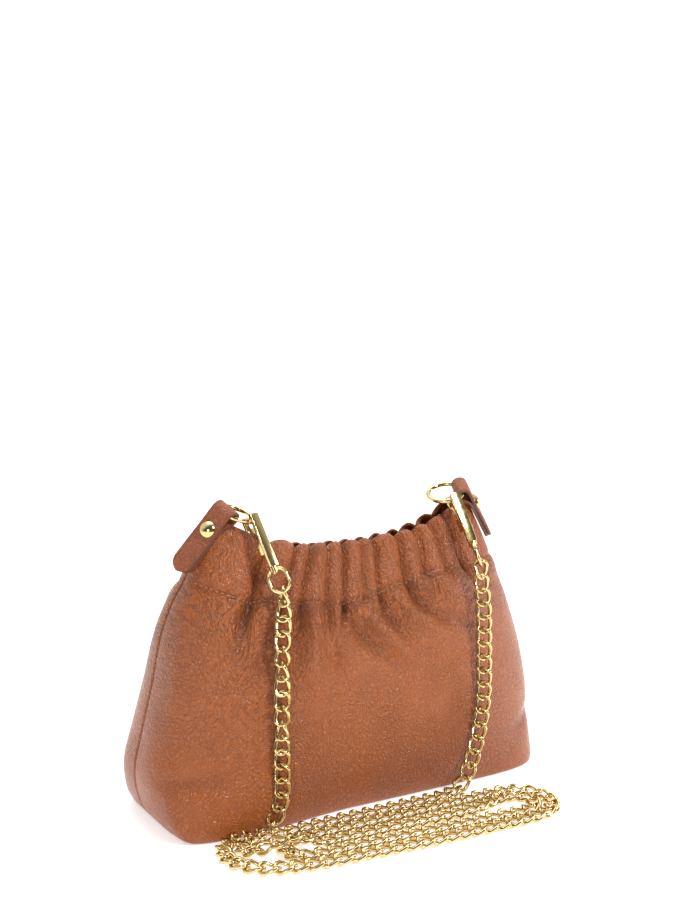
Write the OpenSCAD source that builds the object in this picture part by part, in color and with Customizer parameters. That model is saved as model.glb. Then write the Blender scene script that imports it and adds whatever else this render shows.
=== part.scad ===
// Small gathered leather shoulder bag with a curb chain, two snap hooks, two rings and two riveted tabs.
// Millimetres. Z is up, the front is towards -Y, the origin is the middle of the base on the ground.

/* [Bag] */
// Length of the bag along its base, from corner to corner
bag_l = 250; // [244:1:256]
// Depth of the bag where it is fullest, front to back
bag_d = 96; // [93:0.5:98]
// Height of the gathered hem in the middle of the bag
hem_h = 147; // [144:0.5:150]
// How far the two ends of the hem are pulled up above its middle
end_lift = 20; // [18:0.5:22]
// How far the hem leans towards the front
hem_lean = 12; // [10:0.5:13]
// How far the back hem hangs below the front hem
back_drop = 3; // [1:0.5:4]
// How far the back hem is pinched towards the front hem
mouth_pinch = 3; // [0:0.5:3.5]
// How far a gather stands out of the panel
gather_h = 1.2; // [0.4:0.1:1.5]
// How far a gather rises at the top of the hem
gather_rise = 0.8; // [0:0.1:1.2]
// Depth of the folded hem, down to its stitch line
hem_depth = 27; // [26.5:0.5:29]
// Space inside the folded hem for the elastic
tunnel_gap = 1.8; // [1.7:0.05:1.9]
// Thickness of the outer leather
leather_t = 1.4; // [1.2:0.1:1.5]
// Rounding where the walls turn into the base
edge_r = 3; // [2.5:0.1:3.5]
// Gap between the two panels along their seams
seam_gap = 0.3; // [0.2:0.05:0.5]

/* [Lining, elastic and base board] */
// Thickness of the lining cloth
lining_t = 0.6; // [0.4:0.1:0.7]
// Clearance between the leather and the lining
lining_gap = 0.5; // [0.4:0.05:0.7]
// Thickness of the elastic band
elastic_t = 0.7; // [0.6:0.05:0.8]
// Clearance between the elastic and the leather of the tunnel
elastic_gap = 0.35; // [0.3:0.05:0.4]
// Length of the stiff board in the base
board_l = 222; // [210:1:224]
// Depth of the stiff board in the base
board_d = 78; // [72:0.5:79]
// Thickness of the stiff board
board_t = 1.5; // [1.2:0.1:1.6]
// Corner radius of the stiff board
board_r = 14; // [12:0.5:20]
// Clearance under and over the stiff board
board_gap = 0.3; // [0.2:0.05:0.4]

/* [Magnetic snap] */
// Radius of each snap disc
snap_r = 7; // [6:0.1:8]
// Thickness of each snap disc
snap_t = 1.4; // [1.2:0.1:1.6]
// Radius of the boss on the stud disc
snap_boss_r = 2.4; // [2:0.1:2.6]
// How far the boss stands out of the stud disc
snap_boss_h = 1.1; // [0.8:0.1:1.2]
// Radius of the recess in the socket disc
snap_recess_r = 2.8; // [2.7:0.1:3.2]
// Distance from the lower edge of the folded hem down to the snap discs
snap_gap = 7; // [6:0.1:9]

/* [Tabs and rivets] */
// Width of the leather tab
tab_w = 13; // [12:0.1:13.2]
// Thickness of the tab leather
tab_t = 1.7; // [1.5:0.05:1.75]
// Length of the tab from the top of its roll to its rounded end
tab_l = 44; // [40:0.5:46]
// Outer radius of the roll that holds the ring
roll_r = 4.7; // [4.65:0.01:4.8]
// Gap between the two legs of the tab
leg_gap = 0.3; // [0.2:0.05:0.4]
// Distance from the roll down to the rivet
rivet_drop = 12; // [11:0.1:13]
// Radius of the domed rivet cap
cap_r = 4.75; // [4.2:0.05:5]
// Height of the domed rivet cap
cap_h = 2.6; // [2.2:0.1:2.8]
// Outer radius of the tube under the rivet cap
tube_r = 1.6; // [1.5:0.05:1.65]
// Radius of the pin on the rivet post
post_r = 1; // [0.9:0.05:1]
// Radius of the flat disc of the rivet post
disc_r = 3.4; // [3:0.1:3.5]
// Thickness of the flat disc of the rivet post
disc_t = 0.8; // [0.6:0.1:0.9]
// Clearance between a rivet and the leather around it
rivet_gap = 0.3; // [0.25:0.05:0.4]

/* [Rings] */
// Radius of the ring to the middle of its wire
ring_r = 10.55; // [10.4:0.05:10.7]
// Radius of the ring wire
ring_wire_r = 1.3; // [1.2:0.02:1.32]

/* [Snap hooks] */
// Width of the hook body
bar_w = 6; // [5.6:0.1:6.2]
// Thickness of the hook body
bar_t = 1.8; // [1.6:0.05:1.85]
// Inner radius of the arch that carries the ring
arch_in_r = 2.8; // [2.75:0.01:2.9]
// Length of the hook body below the ring wire
bar_l = 27.5; // [27:0.1:28.5]
// Width of the gate
gate_w = 4; // [3.8:0.05:4.1]
// Radius of the gate pin
pin_r = 0.8; // [0.7:0.01:0.82]
// Radial running clearance of the gate on its pin
pin_gap = 0.05; // [0.03:0.01:0.08]
// Thickness of the leaf spring behind the gate
spring_t = 0.3; // [0.25:0.05:0.35]

/* [Swivel eyes] */
// Radius of the swivel post
swivel_r = 1.2; // [1.1:0.02:1.24]
// Radial running clearance of the eye on the swivel post
swivel_gap = 0.05; // [0.03:0.01:0.08]
// Radius of the swivel hub
hub_r = 2.5; // [2.3:0.1:2.6]
// Radius of the wire loop to the middle of its wire
eye_r = 5.2; // [5.1:0.05:5.3]
// Radius of the wire of the loop
eye_wire_r = 0.95; // [0.9:0.01:1]

/* [Chain] */
// Radius of the chain wire
link_wire_r = 0.9; // [0.84:0.01:0.92]
// Bend radius of a chain link to the middle of its wire
link_bend_r = 3.5; // [3.45:0.01:3.55]
// Length of the straight sides of a chain link
link_side_l = 3.7; // [3.6:0.02:3.8]
// How far a link is rolled to either side of flat
link_roll = 45; // [42:1:48]
// Wanted distance between neighbouring links
link_pitch = 7.95; // [7.9:0.01:8]

/* [Hidden] */
$fn = 48;

leather = [0.62, 0.33, 0.18];
leather_back = [0.55, 0.30, 0.18];
cloth = [0.35, 0.25, 0.2];
rubber = [0.85, 0.83, 0.78];
board = [0.45, 0.4, 0.34];
gold = [0.86, 0.72, 0.42];
steel = [0.7, 0.7, 0.7];

// outline of the bag at ten heights, as shares of hem_h, bag_l and bag_d
height_shares = [0, 0.081, 0.203, 0.338, 0.507, 0.676, 0.777, 0.845, 0.912, 1];
left_shares = [0.460, 0.488, 0.500, 0.484, 0.460, 0.440, 0.416, 0.388, 0.368, 0.328];
right_shares = [0.488, 0.502, 0.504, 0.504, 0.484, 0.448, 0.416, 0.392, 0.368, 0.328];
depth_shares = [0.448, 0.479, 0.500, 0.500, 0.479, 0.427, 0.370, 0.3125, 0.219, 0.099];
corner_powers = [7, 4.5, 3.4, 3.0, 2.8, 2.6, 2.5, 2.4, 2.4, 2.4];
levels = len(height_shares);

// cubic curve through the ten values of one outline table
function level_of(s, i = 0) = i >= levels - 2 || s <= height_shares[i + 1] ? i : level_of(s, i + 1);
function level_slope(t, i) = let(lo = max(i - 1, 0), hi = min(i + 1, levels - 1))
  (t[hi] - t[lo]) / (height_shares[hi] - height_shares[lo]);
function level_value(t, s) = let(
    i = level_of(s), w = height_shares[i + 1] - height_shares[i],
    u = (s - height_shares[i]) / w)
  t[i] * (2 * u * u * u - 3 * u * u + 1) + w * level_slope(t, i) * (u * u * u - 2 * u * u + u)
  + t[i + 1] * (3 * u * u - 2 * u * u * u) + w * level_slope(t, i + 1) * (u * u * u - u * u);
function half_depth(h) = bag_d * level_value(depth_shares, h / hem_h);

// columns across a panel: short steps at the two ends, four steps to each gather between them
gather_n = 13;
gather_steps = 4;
end_steps = 7;
gather_left_share = 0.74;
gather_right_share = 0.86;
gather_first_col = end_steps;
gather_last_col = end_steps + gather_n * gather_steps;
column_shares = concat(
  [for (k = [0:end_steps - 1]) -cos(acos(gather_left_share) * k / end_steps)],
  [for (k = [0:gather_n * gather_steps])
    -gather_left_share + (gather_left_share + gather_right_share) * k / (gather_n * gather_steps)],
  [for (k = [1:end_steps]) cos(acos(gather_right_share) * (1 - k / end_steps))]);
columns = len(column_shares);

// gathers are full at the hem and die out down the wall
gather_low_share = 0.5;
gather_full_share = 0.85;
function smooth_step(u) = let(v = min(max(u, 0), 1)) v * v * (3 - 2 * v);
function gather_fade(h) =
  smooth_step((h / hem_h - gather_low_share) / (gather_full_share - gather_low_share));
function gather_wave(j) = let(
    inside = min(j - gather_first_col, gather_last_col - j) / gather_steps)
  cos(360 * (j - gather_first_col) / gather_steps) * smooth_step(inside);

// the mouth is pinched just left of the middle
pinch_at_share = -0.12;
pinch_reach_share = 0.7;
function pinch(c) = let(u = (c - pinch_at_share) / pinch_reach_share)
  abs(u) < 1 ? mouth_pinch * pow(cos(90 * u), 2) : 0;

// one point of a wall: height h, column j, inset from the outside, side -1 front or 1 back
function wall_row(h) = let(s = h / hem_h)
  [bag_l * level_value(left_shares, s), bag_l * level_value(right_shares, s), half_depth(h),
   level_value(corner_powers, s), -hem_lean * pow(s, 3), pow(s, 4), gather_fade(h)];
function wall_point(h, row, j, inset, side) = let(
    c = column_shares[j], n = row[3], a = (c < 0 ? row[0] : row[1]) - inset,
    bulge = (row[2] - inset) * pow(max(1 - pow(abs(c), n), 0), 1 / n),
    wave = gather_wave(j) * row[6])
  [a * c,
   row[4] + side * (bulge + seam_gap / 2 + gather_h * wave) - (side > 0 ? pinch(c) * row[5] : 0),
   h + row[5] * (end_lift * pow(abs(c), 3) + gather_rise * wave
     - (side > 0 ? back_drop * (1 - pow(abs(c), 3)) : 0))];

// closed sheet between an outer and an inner chain of [height, inset] pairs
module wall_sheet(outer, inner, side, first = 0, last = columns - 1) {
  rows = len(outer);
  cols = last - first + 1;
  pts = [for (chain = [outer, inner]) for (p = chain) let(row = wall_row(p[0]))
    for (j = [first:last]) wall_point(p[0], row, j, p[1], side)];
  quads = concat(
    [for (i = [0:rows - 2]) for (j = [0:cols - 2])
      [[0, i, j], [0, i + 1, j], [0, i + 1, j + 1], [0, i, j + 1]]],
    [for (i = [0:rows - 2]) for (j = [0:cols - 2])
      [[1, i, j], [1, i, j + 1], [1, i + 1, j + 1], [1, i + 1, j]]],
    [for (j = [0:cols - 2]) [[0, 0, j], [0, 0, j + 1], [1, 0, j + 1], [1, 0, j]]],
    [for (j = [0:cols - 2]) [[0, rows - 1, j + 1], [0, rows - 1, j], [1, rows - 1, j], [1, rows - 1, j + 1]]],
    [for (i = [0:rows - 2]) [[0, i + 1, 0], [0, i, 0], [1, i, 0], [1, i + 1, 0]]],
    [for (i = [0:rows - 2])
      [[0, i, cols - 1], [0, i + 1, cols - 1], [1, i + 1, cols - 1], [1, i, cols - 1]]]);
  at = function (v) (v[0] * rows + v[1]) * cols + v[2];
  order = side < 0 ? [0, 1, 2] : [2, 1, 0];
  left_split = [[0, 1, 2], [0, 2, 3]];
  right_split = [[0, 1, 3], [1, 2, 3]];
  middle_col = (cols - 1) / 2;
  faces = [for (q = quads) for (t = min(q[0][2], q[2][2]) < middle_col ? left_split : right_split)
    [for (k = order) at(q[t[k]])]];
  polyhedron(points = pts, faces = faces, convexity = 6);
}

// leather panel: half of the base, the wall, the folded top and the facing inside
body_shares = [0.08, 0.15, 0.24, 0.34, 0.45, 0.56, 0.66, 0.75, 0.83, 0.90, 0.95];
edge_turns = [45];
fold_turns = [0, 45, 90, 135, 180];
fold_t = 2 * leather_t + tunnel_gap;
fold_h = hem_h - fold_t / 2;
facing_low = hem_h - hem_depth;
hem_rows = [for (s = body_shares) if (s * hem_h > facing_low) s * hem_h];
base_mid_share = 0.5;
function base_chain(h, inset, r) = concat(
  [[h, half_depth(h)], [h, inset + (half_depth(h) - inset) * base_mid_share], [h, inset + r]],
  [for (a = edge_turns) [h + r * (1 - cos(a)), inset + r * (1 - sin(a))]],
  [[h + r, inset]]);
function wall_chain(inset, top) = [for (s = body_shares) if (s * hem_h < top) [s * hem_h, inset]];
function fold_chain(r) = [for (a = fold_turns) [fold_h + r * sin(a), fold_t / 2 - r * cos(a)]];
function facing_chain(inset) = concat(
  [for (i = [len(hem_rows) - 1:-1:0]) [hem_rows[i], inset]], [[facing_low, inset]]);
panel_outer = concat(base_chain(0, 0, edge_r), wall_chain(0, fold_h), fold_chain(fold_t / 2),
  facing_chain(fold_t));
panel_inner = concat(base_chain(leather_t, leather_t, edge_r - leather_t), wall_chain(leather_t, fold_h),
  fold_chain(fold_t / 2 - leather_t), facing_chain(fold_t - leather_t));

// lining: inside the leather, above the base board, up to the facing
lining_in = leather_t + lining_gap;
lining_low = leather_t + board_gap + board_t + board_gap;
lining_high = facing_low - lining_gap;
lining_edge_r = 4;
lining_outer = concat(base_chain(lining_low, lining_in, lining_edge_r),
  wall_chain(lining_in, lining_high), [[lining_high, lining_in]]);
lining_inner = concat(base_chain(lining_low + lining_t, lining_in + lining_t, lining_edge_r - lining_t),
  wall_chain(lining_in + lining_t, lining_high), [[lining_high, lining_in + lining_t]]);

// elastic: a flat band inside the tunnel, stopping short of the seams
elastic_in = leather_t + elastic_gap;
elastic_outer = [for (h = hem_rows) [h, elastic_in]];
elastic_inner = [for (h = hem_rows) [h, elastic_in + elastic_t]];
elastic_end_cols = 6;

// tab frame: x across the strip, y out of the bag, z up the strip, origin in the middle of the roll
tab_turn = [28, -27, 110.5];
roll_in = 5;
roll_fwd = 4.95;
roll_up = 2.95;
roll_at = [roll_in - bag_l * left_shares[levels - 1], -hem_lean - roll_fwd, hem_h + end_lift + roll_up];
roll_in_r = roll_r - tab_t;
inner_leg_share = 0.72;
leg_low = tab_l - roll_r;
inner_leg_y = roll_in_r - leg_gap;
hole_r = tube_r + rivet_gap;
dome_r = (cap_r * cap_r + cap_h * cap_h) / (2 * cap_h);
cap_lift = 0.05;
wall_depth = 5.2;
tube_low = inner_leg_y - tab_t - wall_depth;
tube_in_r = post_r + 0.05;
tube_end_gap = 0.2;
disc_y = tube_low - tube_end_gap - disc_t;
pin_top_gap = 0.6;
pocket_l = 2.5;

// ring frame: the ring turns about the middle of the roll
ring_drop = 18;
ring_twist = 9;
ring_settle_share = 0.125;
ring_out = ring_r * (1 - ring_settle_share);

// turning a vector by [rx, ry, rz] degrees, x first
function turn_x(v, a) = [v[0], v[1] * cos(a) - v[2] * sin(a), v[1] * sin(a) + v[2] * cos(a)];
function turn_y(v, a) = [v[0] * cos(a) + v[2] * sin(a), v[1], v[2] * cos(a) - v[0] * sin(a)];
function turn_z(v, a) = [v[0] * cos(a) - v[1] * sin(a), v[0] * sin(a) + v[1] * cos(a), v[2]];
function turned(v, t) = turn_z(turn_y(turn_x(v, t[0]), t[1]), t[2]);
function on_ring(a) = roll_at + turned(turn_x(
  turn_y([ring_r * cos(a), -ring_r * sin(a), 0], ring_twist) + [0, -ring_out, 0], -ring_drop), tab_turn);
function mirrored(v) = [-v[0], v[1], v[2]];

// hook frames: x across the hook, y towards the gate, z up the bar, origin in the middle of the ring wire
hook_lean = 30;
left_hook_place = 174;
right_hook_place = 193;
left_hook_at = on_ring(left_hook_place);
right_hook_at = mirrored(on_ring(right_hook_place));
left_hook_turn = [-hook_lean, 0, 20];
right_hook_turn = [-hook_lean, -7, -2];
arch_z = 3.4;
arch_out_r = arch_in_r + bar_t;
nose_low = 4.2;
cheek_t = 0.8;
cheek_gap = 0.2;
cheek_high = 12;
cheek_low = 20;
cheek_out = 1.1;
gate_pivot_y = -0.9;
gate_pivot_z = -15;
gate_lean = 12.4;
gate_up = 11.8;
gate_down = 2.5;
gate_t = 1.8;
gate_boss_r = 1.6;
gate_tip_r = 0.9;
neck_w = 4.6;
neck_d = 3.3;
gate_clear = 3.5;
neck_h = bar_l + gate_pivot_z - gate_down - gate_clear;
spring_foot = [-2.58, -12.9];
spring_lean = 19;
spring_l = 6.9;
spring_w = 2.2;

// swivel eye under the hook body
swivel_y = neck_d / 2 - arch_out_r;
post_l = 3;
head_r = 1.7;
head_h = 1.1;
hub_gap = 0.2;
hub_h = 2.6;
eye_top_drop = 6.4;
eye_low_drop = 9.3;
eye_top_z = -bar_l - eye_top_drop;
eye_low_z = -bar_l - eye_low_drop;
left_eye_turn = -54;
right_eye_turn = 60;
eye_bottom = [0, swivel_y, eye_low_z - eye_r];
left_eye_at = left_hook_at + turned(eye_bottom, left_hook_turn);
right_eye_at = right_hook_at + turned(eye_bottom, right_hook_turn);

// route of the chain: down from the left eye, along the ground in rows, up to the right eye
link_hang = 2.7;
link_half_l = link_side_l / 2 + link_bend_r;
chain_start = left_eye_at + [0, 0, link_hang - link_half_l];
chain_end = right_eye_at + [0, 0, link_hang - link_half_l];
g = 3.6;
route = concat(
  [chain_start, chain_start + [-0.3, -0.6, -9]],
  [[-58.6, -47.4, 100], [-60, -49.6, 75], [-61, -51, 50], [-61, -51, 25], [-62, -50.8, 17],
   [-64.5, -50.4, 10], [-70, -50.4, 5], [-78, -50.8, g], [-86, -52, g], [-95, -56, g], [-101.5, -63, g],
   [-104, -72.5, g], [-102, -82, g], [-96, -90, g], [-87, -95.5, g]],
  [[-70, -100, g], [-40, -103, g], [0, -106, g], [35, -107.5, g], [55, -108, g], [68, -107.5, g],
   [77.5, -105, g], [84.5, -98, g], [87, -89, g], [84.5, -80, g], [77.5, -73, g], [68, -70.5, g]],
  [[40, -70, g], [0, -70, g], [-40, -69.5, g], [-62, -69.5, g], [-68, -71, g], [-72.5, -75, g],
   [-74, -80.5, g], [-72.5, -86, g], [-68, -90, g], [-61, -91.5, g]],
  [[-40, -92, g], [0, -95, g], [30, -97, g], [50, -98.5, g], [60, -99.5, g], [67, -99.4, g],
   [73.6, -95.8, g], [76.6, -89, g], [74.2, -82.2, g], [68, -78.6, g], [60, -78.6, g], [52, -80.5, g]],
  [[38, -83, g], [0, -82, g], [-36, -80.8, g], [-50, -80.5, 4], [-61, -80.5, 8], [-72.5, -80.5, 11.2],
   [-82, -80.5, 9], [-89, -77.5, 6], [-93, -70.5, 4], [-90.5, -63.5, g], [-84.5, -60, g], [-75, -59, g]],
  [[-40, -59, g], [0, -59.5, g], [30, -59.5, g], [42, -58.2, g], [51, -56, 5.5], [58, -54, 12],
   [63.5, -52, 22], [68, -50.6, 34], [70.5, -50, 46], [71.6, -50, 60], [71.8, -49.4, 80], [72, -48.2, 105]],
  [chain_end + [0, -0.8, -9], chain_end]);
route_n = len(route);
route_steps = 12;
function route_pt(i) = i < 0 ? 2 * route[0] - route[1]
  : i >= route_n ? 2 * route[route_n - 1] - route[route_n - 2] : route[i];
function route_curve(i, t) = let(
    a = route_pt(i - 1), b = route_pt(i), c = route_pt(i + 1), d = route_pt(i + 2))
  (2 * b + (c - a) * t + (2 * a - 5 * b + 4 * c - d) * t * t + (3 * b - a - 3 * c + d) * t * t * t) / 2;
walk = concat([for (i = [0:route_n - 2]) for (k = [0:route_steps - 1]) route_curve(i, k / route_steps)],
  [route[route_n - 1]]);
walk_n = len(walk);
function walk_step(i) = i + 1 < walk_n ? norm(walk[i + 1] - walk[i]) : 0;
walk_l = [for (i = 0, s = 0; i < walk_n; s = s + walk_step(i), i = i + 1) s];
chain_l = walk_l[walk_n - 1];
link_n = 2 * round(chain_l / link_pitch / 2) + 1;
link_step = chain_l / (link_n - 1);
function step_of(s, lo, hi) = hi - lo <= 1 ? lo
  : let(m = floor((lo + hi) / 2)) walk_l[m] > s ? step_of(s, lo, m) : step_of(s, m, hi);
function along(s) = let(v = min(max(s, 0), chain_l), k = step_of(v, 0, walk_n - 1))
  walk[k] + (walk[k + 1] - walk[k]) * (v - walk_l[k]) / (walk_l[k + 1] - walk_l[k]);
sight = 3;
steep_share = 0.3;
left_run_last = 11;
right_run_first = link_n - 12;

// a rounded rectangle, centred, drawn flat
module rounded_plate(l, d, r) {
  square([l - 2 * r, d], center = true);
  square([l, d - 2 * r], center = true);
  for (x = [-1, 1]) for (y = [-1, 1]) translate([x * (l / 2 - r), y * (d / 2 - r)]) circle(r);
}

module at_left_roll() {
  translate(roll_at) rotate(tab_turn) children();
}

// clearance hole for the rivet and the pocket for its inner disc, in the tab frame
module rivet_room() {
  translate([0, disc_y - pocket_l, -rivet_drop]) rotate([-90, 0, 0])
    cylinder(r = disc_r + rivet_gap, h = pocket_l + disc_t + rivet_gap);
  translate([0, disc_y, -rivet_drop]) rotate([-90, 0, 0])
    cylinder(r = hole_r, h = roll_r - disc_y + rivet_gap);
}

module panel(side) {
  difference() {
    wall_sheet(panel_outer, panel_inner, side);
    at_left_roll() rivet_room();
    mirror([1, 0, 0]) at_left_roll() rivet_room();
  }
}

module front_panel() {
  color(leather) panel(-1);
}

module back_panel() {
  color(leather_back) panel(1);
}

module lining_front() {
  color(cloth) wall_sheet(lining_outer, lining_inner, -1);
}

module lining_back() {
  color(cloth) wall_sheet(lining_outer, lining_inner, 1);
}

module elastic(side) {
  wall_sheet(elastic_outer, elastic_inner, side, elastic_end_cols, columns - 1 - elastic_end_cols);
}

module elastic_front() {
  color(rubber) elastic(-1);
}

module elastic_back() {
  color(rubber) elastic(1);
}

board_x_share = 0.014;
module base_board() {
  color(board) translate([bag_l * board_x_share, 0, leather_t + board_gap])
    linear_extrude(board_t) rounded_plate(board_l, board_d, board_r);
}

// snap discs sit on the two linings, just left of the middle, and lean nearly as the wall does
snap_h = hem_h - hem_depth - snap_gap - snap_r;
snap_share = snap_h / hem_h;
function wall_reach(h, side) = hem_lean * pow(h / hem_h, 3) - side * half_depth(h)
  + (side > 0 ? mouth_pinch * pow(h / hem_h, 4) : 0);
function wall_lean(side) = atan(side * (wall_reach(snap_h + snap_r, side) - wall_reach(snap_h - snap_r, side))
  / (2 * snap_r));
snap_ease_front = 0.07;
snap_ease_back = 0.78;
snap_room_front = 0.6;
snap_room_back = 1.8;
snap_lean_front = wall_lean(-1) - snap_ease_front;
snap_lean_back = wall_lean(1) - snap_ease_back;
snap_lining_y = half_depth(snap_h) - lining_in - lining_t - gather_h * gather_fade(snap_h);
snap_recess_d = 0.9;
module snap_stud() {
  color(steel) translate([0, -hem_lean * pow(snap_share, 3) - snap_lining_y + snap_room_front, snap_h])
    rotate([-90 - snap_lean_front, 0, 0]) {
      cylinder(r = snap_r, h = snap_t);
      cylinder(r = snap_boss_r, h = snap_t + snap_boss_h);
    }
}

module snap_socket() {
  pinched = mouth_pinch * pow(snap_share, 4);
  color(steel)
    translate([0, -hem_lean * pow(snap_share, 3) + snap_lining_y - snap_room_back - pinched, snap_h])
    rotate([90 + snap_lean_back, 0, 0]) difference() {
      cylinder(r = snap_r, h = snap_t);
      translate([0, 0, snap_t - snap_recess_d]) cylinder(r = snap_recess_r, h = snap_t);
    }
}

// one leg of the tab, drawn in x and z, thick towards -y
module tab_leg(y, top) {
  translate([0, y, 0]) rotate([90, 0, 0]) linear_extrude(tab_t) {
    translate([-tab_w / 2, tab_w / 2 - leg_low]) square([tab_w, leg_low - tab_w / 2 + top]);
    translate([0, tab_w / 2 - leg_low]) circle(tab_w / 2);
  }
}

module tab_strip() {
  difference() {
    union() {
      rotate([0, 90, 0]) cylinder(r = roll_r, h = tab_w, center = true);
      tab_leg(roll_r, 0);
      tab_leg(inner_leg_y, -roll_r * inner_leg_share);
    }
    rotate([0, 90, 0]) cylinder(r = roll_in_r, h = 2 * tab_w, center = true);
    translate([0, roll_r + tab_t, -rivet_drop]) rotate([90, 0, 0]) cylinder(r = hole_r, h = 3 * roll_r);
  }
}

// domed cap with the tube that goes through the leather
module rivet_cap() {
  translate([0, roll_r + cap_lift, -rivet_drop]) rotate([-90, 0, 0]) {
    intersection() {
      translate([0, 0, cap_h - dome_r]) sphere(dome_r);
      cylinder(r = cap_r, h = cap_h);
    }
    difference() {
      translate([0, 0, tube_low - roll_r]) cylinder(r = tube_r, h = roll_r - tube_low + cap_h / 2);
      translate([0, 0, 2 * tube_low - roll_r]) cylinder(r = tube_in_r, h = roll_r - 2 * tube_low);
    }
  }
}

module rivet_post() {
  translate([0, disc_y, -rivet_drop]) rotate([-90, 0, 0]) {
    cylinder(r = disc_r, h = disc_t);
    cylinder(r = post_r, h = roll_r - disc_y - pin_top_gap);
  }
}

module ring_at_roll() {
  rotate([-ring_drop, 0, 0]) translate([0, -ring_out, 0]) rotate([0, ring_twist, 0])
    rotate_extrude() translate([ring_r, 0]) circle(ring_wire_r);
}

module left_tab() {
  color(leather) at_left_roll() tab_strip();
}

module left_rivet_cap() {
  color(gold) at_left_roll() rivet_cap();
}

module left_rivet_post() {
  color(gold) at_left_roll() rivet_post();
}

module left_ring() {
  color(gold) at_left_roll() ring_at_roll();
}

module right_tab() {
  color(leather) mirror([1, 0, 0]) at_left_roll() tab_strip();
}

module right_rivet_cap() {
  color(gold) mirror([1, 0, 0]) at_left_roll() rivet_cap();
}

module right_rivet_post() {
  color(gold) mirror([1, 0, 0]) at_left_roll() rivet_post();
}

module right_ring() {
  color(gold) mirror([1, 0, 0]) at_left_roll() ring_at_roll();
}

// a round bar along x, centred
module cross_pin(r, l, y, z) {
  translate([0, y, z]) rotate([0, 90, 0]) cylinder(r = r, h = l, center = true);
}

// hook body: bar, arch, nose, two cheeks for the gate pin, neck block and swivel post
module hook_body() {
  translate([-bar_w / 2, -arch_out_r, -bar_l]) cube([bar_w, bar_t, bar_l + arch_z]);
  translate([0, 0, arch_z]) rotate([0, 90, 0]) rotate([0, 0, 90]) rotate_extrude(angle = 180)
    translate([arch_in_r, -bar_w / 2]) square([bar_t, bar_w]);
  translate([-bar_w / 2, arch_in_r, -nose_low + bar_t / 2])
    cube([bar_w, bar_t, nose_low - bar_t / 2 + arch_z]);
  cross_pin(bar_t / 2, bar_w, arch_in_r + bar_t / 2, -nose_low + bar_t / 2);
  difference() {
    for (s = [-1, 1]) translate([s * (gate_w / 2 + cheek_gap + cheek_t / 2) - cheek_t / 2, 0, 0]) {
      translate([0, -arch_in_r - bar_t / 2, -cheek_low])
        cube([cheek_t, arch_in_r + bar_t / 2 + cheek_out, cheek_low - cheek_high]);
    }
    cross_pin(pin_r + pin_gap, 2 * bar_w, gate_pivot_y, gate_pivot_z);
  }
  translate([-neck_w / 2, -arch_out_r, -bar_l]) cube([neck_w, neck_d, neck_h]);
  translate([0, swivel_y, -bar_l - post_l]) cylinder(r = swivel_r, h = post_l + neck_h / 2);
  translate([0, swivel_y, -bar_l - post_l - head_h]) cylinder(r = head_r, h = head_h);
}

module hook_gate() {
  translate([0, gate_pivot_y, gate_pivot_z]) rotate([-gate_lean, 0, 0]) difference() {
    union() {
      translate([-gate_w / 2, -gate_t / 2, -gate_down + gate_tip_r])
        cube([gate_w, gate_t, gate_up + gate_down - gate_tip_r]);
      cross_pin(gate_tip_r, gate_w, 0, -gate_down + gate_tip_r);
      cross_pin(gate_boss_r, gate_w, 0, 0);
    }
    cross_pin(pin_r + pin_gap, 2 * bar_w, 0, 0);
  }
}

module gate_pin() {
  cross_pin(pin_r, gate_w + 2 * cheek_gap + 2 * cheek_t, gate_pivot_y, gate_pivot_z);
}

module gate_spring() {
  translate([-spring_w / 2, spring_foot[0], spring_foot[1]]) rotate([-spring_lean, 0, 0])
    cube([spring_w, spring_t, spring_l]);
}

module swivel_eye(turn) {
  translate([0, swivel_y, 0]) rotate([0, 0, turn]) difference() {
    union() {
      translate([0, 0, -bar_l - hub_gap - hub_h]) cylinder(r = hub_r, h = hub_h);
      translate([0, 0, eye_top_z]) rotate([90, 0, 0]) rotate_extrude(angle = 180)
        translate([eye_r, 0]) circle(eye_wire_r);
      translate([0, 0, eye_low_z]) rotate([-90, 0, 0]) rotate_extrude(angle = 180)
        translate([eye_r, 0]) circle(eye_wire_r);
      for (s = [-1, 1]) translate([s * eye_r, 0, eye_low_z])
        cylinder(r = eye_wire_r, h = eye_top_z - eye_low_z);
    }
    translate([0, 0, -bar_l - hub_gap - 2 * hub_h]) cylinder(r = swivel_r + swivel_gap, h = 3 * hub_h);
  }
}

module at_left_hook() {
  translate(left_hook_at) rotate(left_hook_turn) children();
}

module at_right_hook() {
  translate(right_hook_at) rotate(right_hook_turn) children();
}

module left_hook_body() {
  color(gold) at_left_hook() hook_body();
}

module left_hook_gate() {
  color(gold) at_left_hook() hook_gate();
}

module left_gate_pin() {
  color(steel) at_left_hook() gate_pin();
}

module left_gate_spring() {
  color(steel) at_left_hook() gate_spring();
}

module left_swivel_eye() {
  color(gold) at_left_hook() swivel_eye(left_eye_turn);
}

module right_hook_body() {
  color(gold) at_right_hook() hook_body();
}

module right_hook_gate() {
  color(gold) at_right_hook() hook_gate();
}

module right_gate_pin() {
  color(steel) at_right_hook() gate_pin();
}

module right_gate_spring() {
  color(steel) at_right_hook() gate_spring();
}

module right_swivel_eye() {
  color(gold) at_right_hook() swivel_eye(right_eye_turn);
}

// one flat link, long along x
module chain_link() {
  for (s = [-1, 1]) {
    translate([s * link_side_l / 2, 0, 0]) rotate([0, 0, -90 * s]) rotate_extrude(angle = 180)
      translate([link_bend_r, 0]) circle(link_wire_r);
    translate([-link_side_l / 2, s * link_bend_r, 0]) rotate([0, 90, 0])
      cylinder(r = link_wire_r, h = link_side_l);
  }
}

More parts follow.
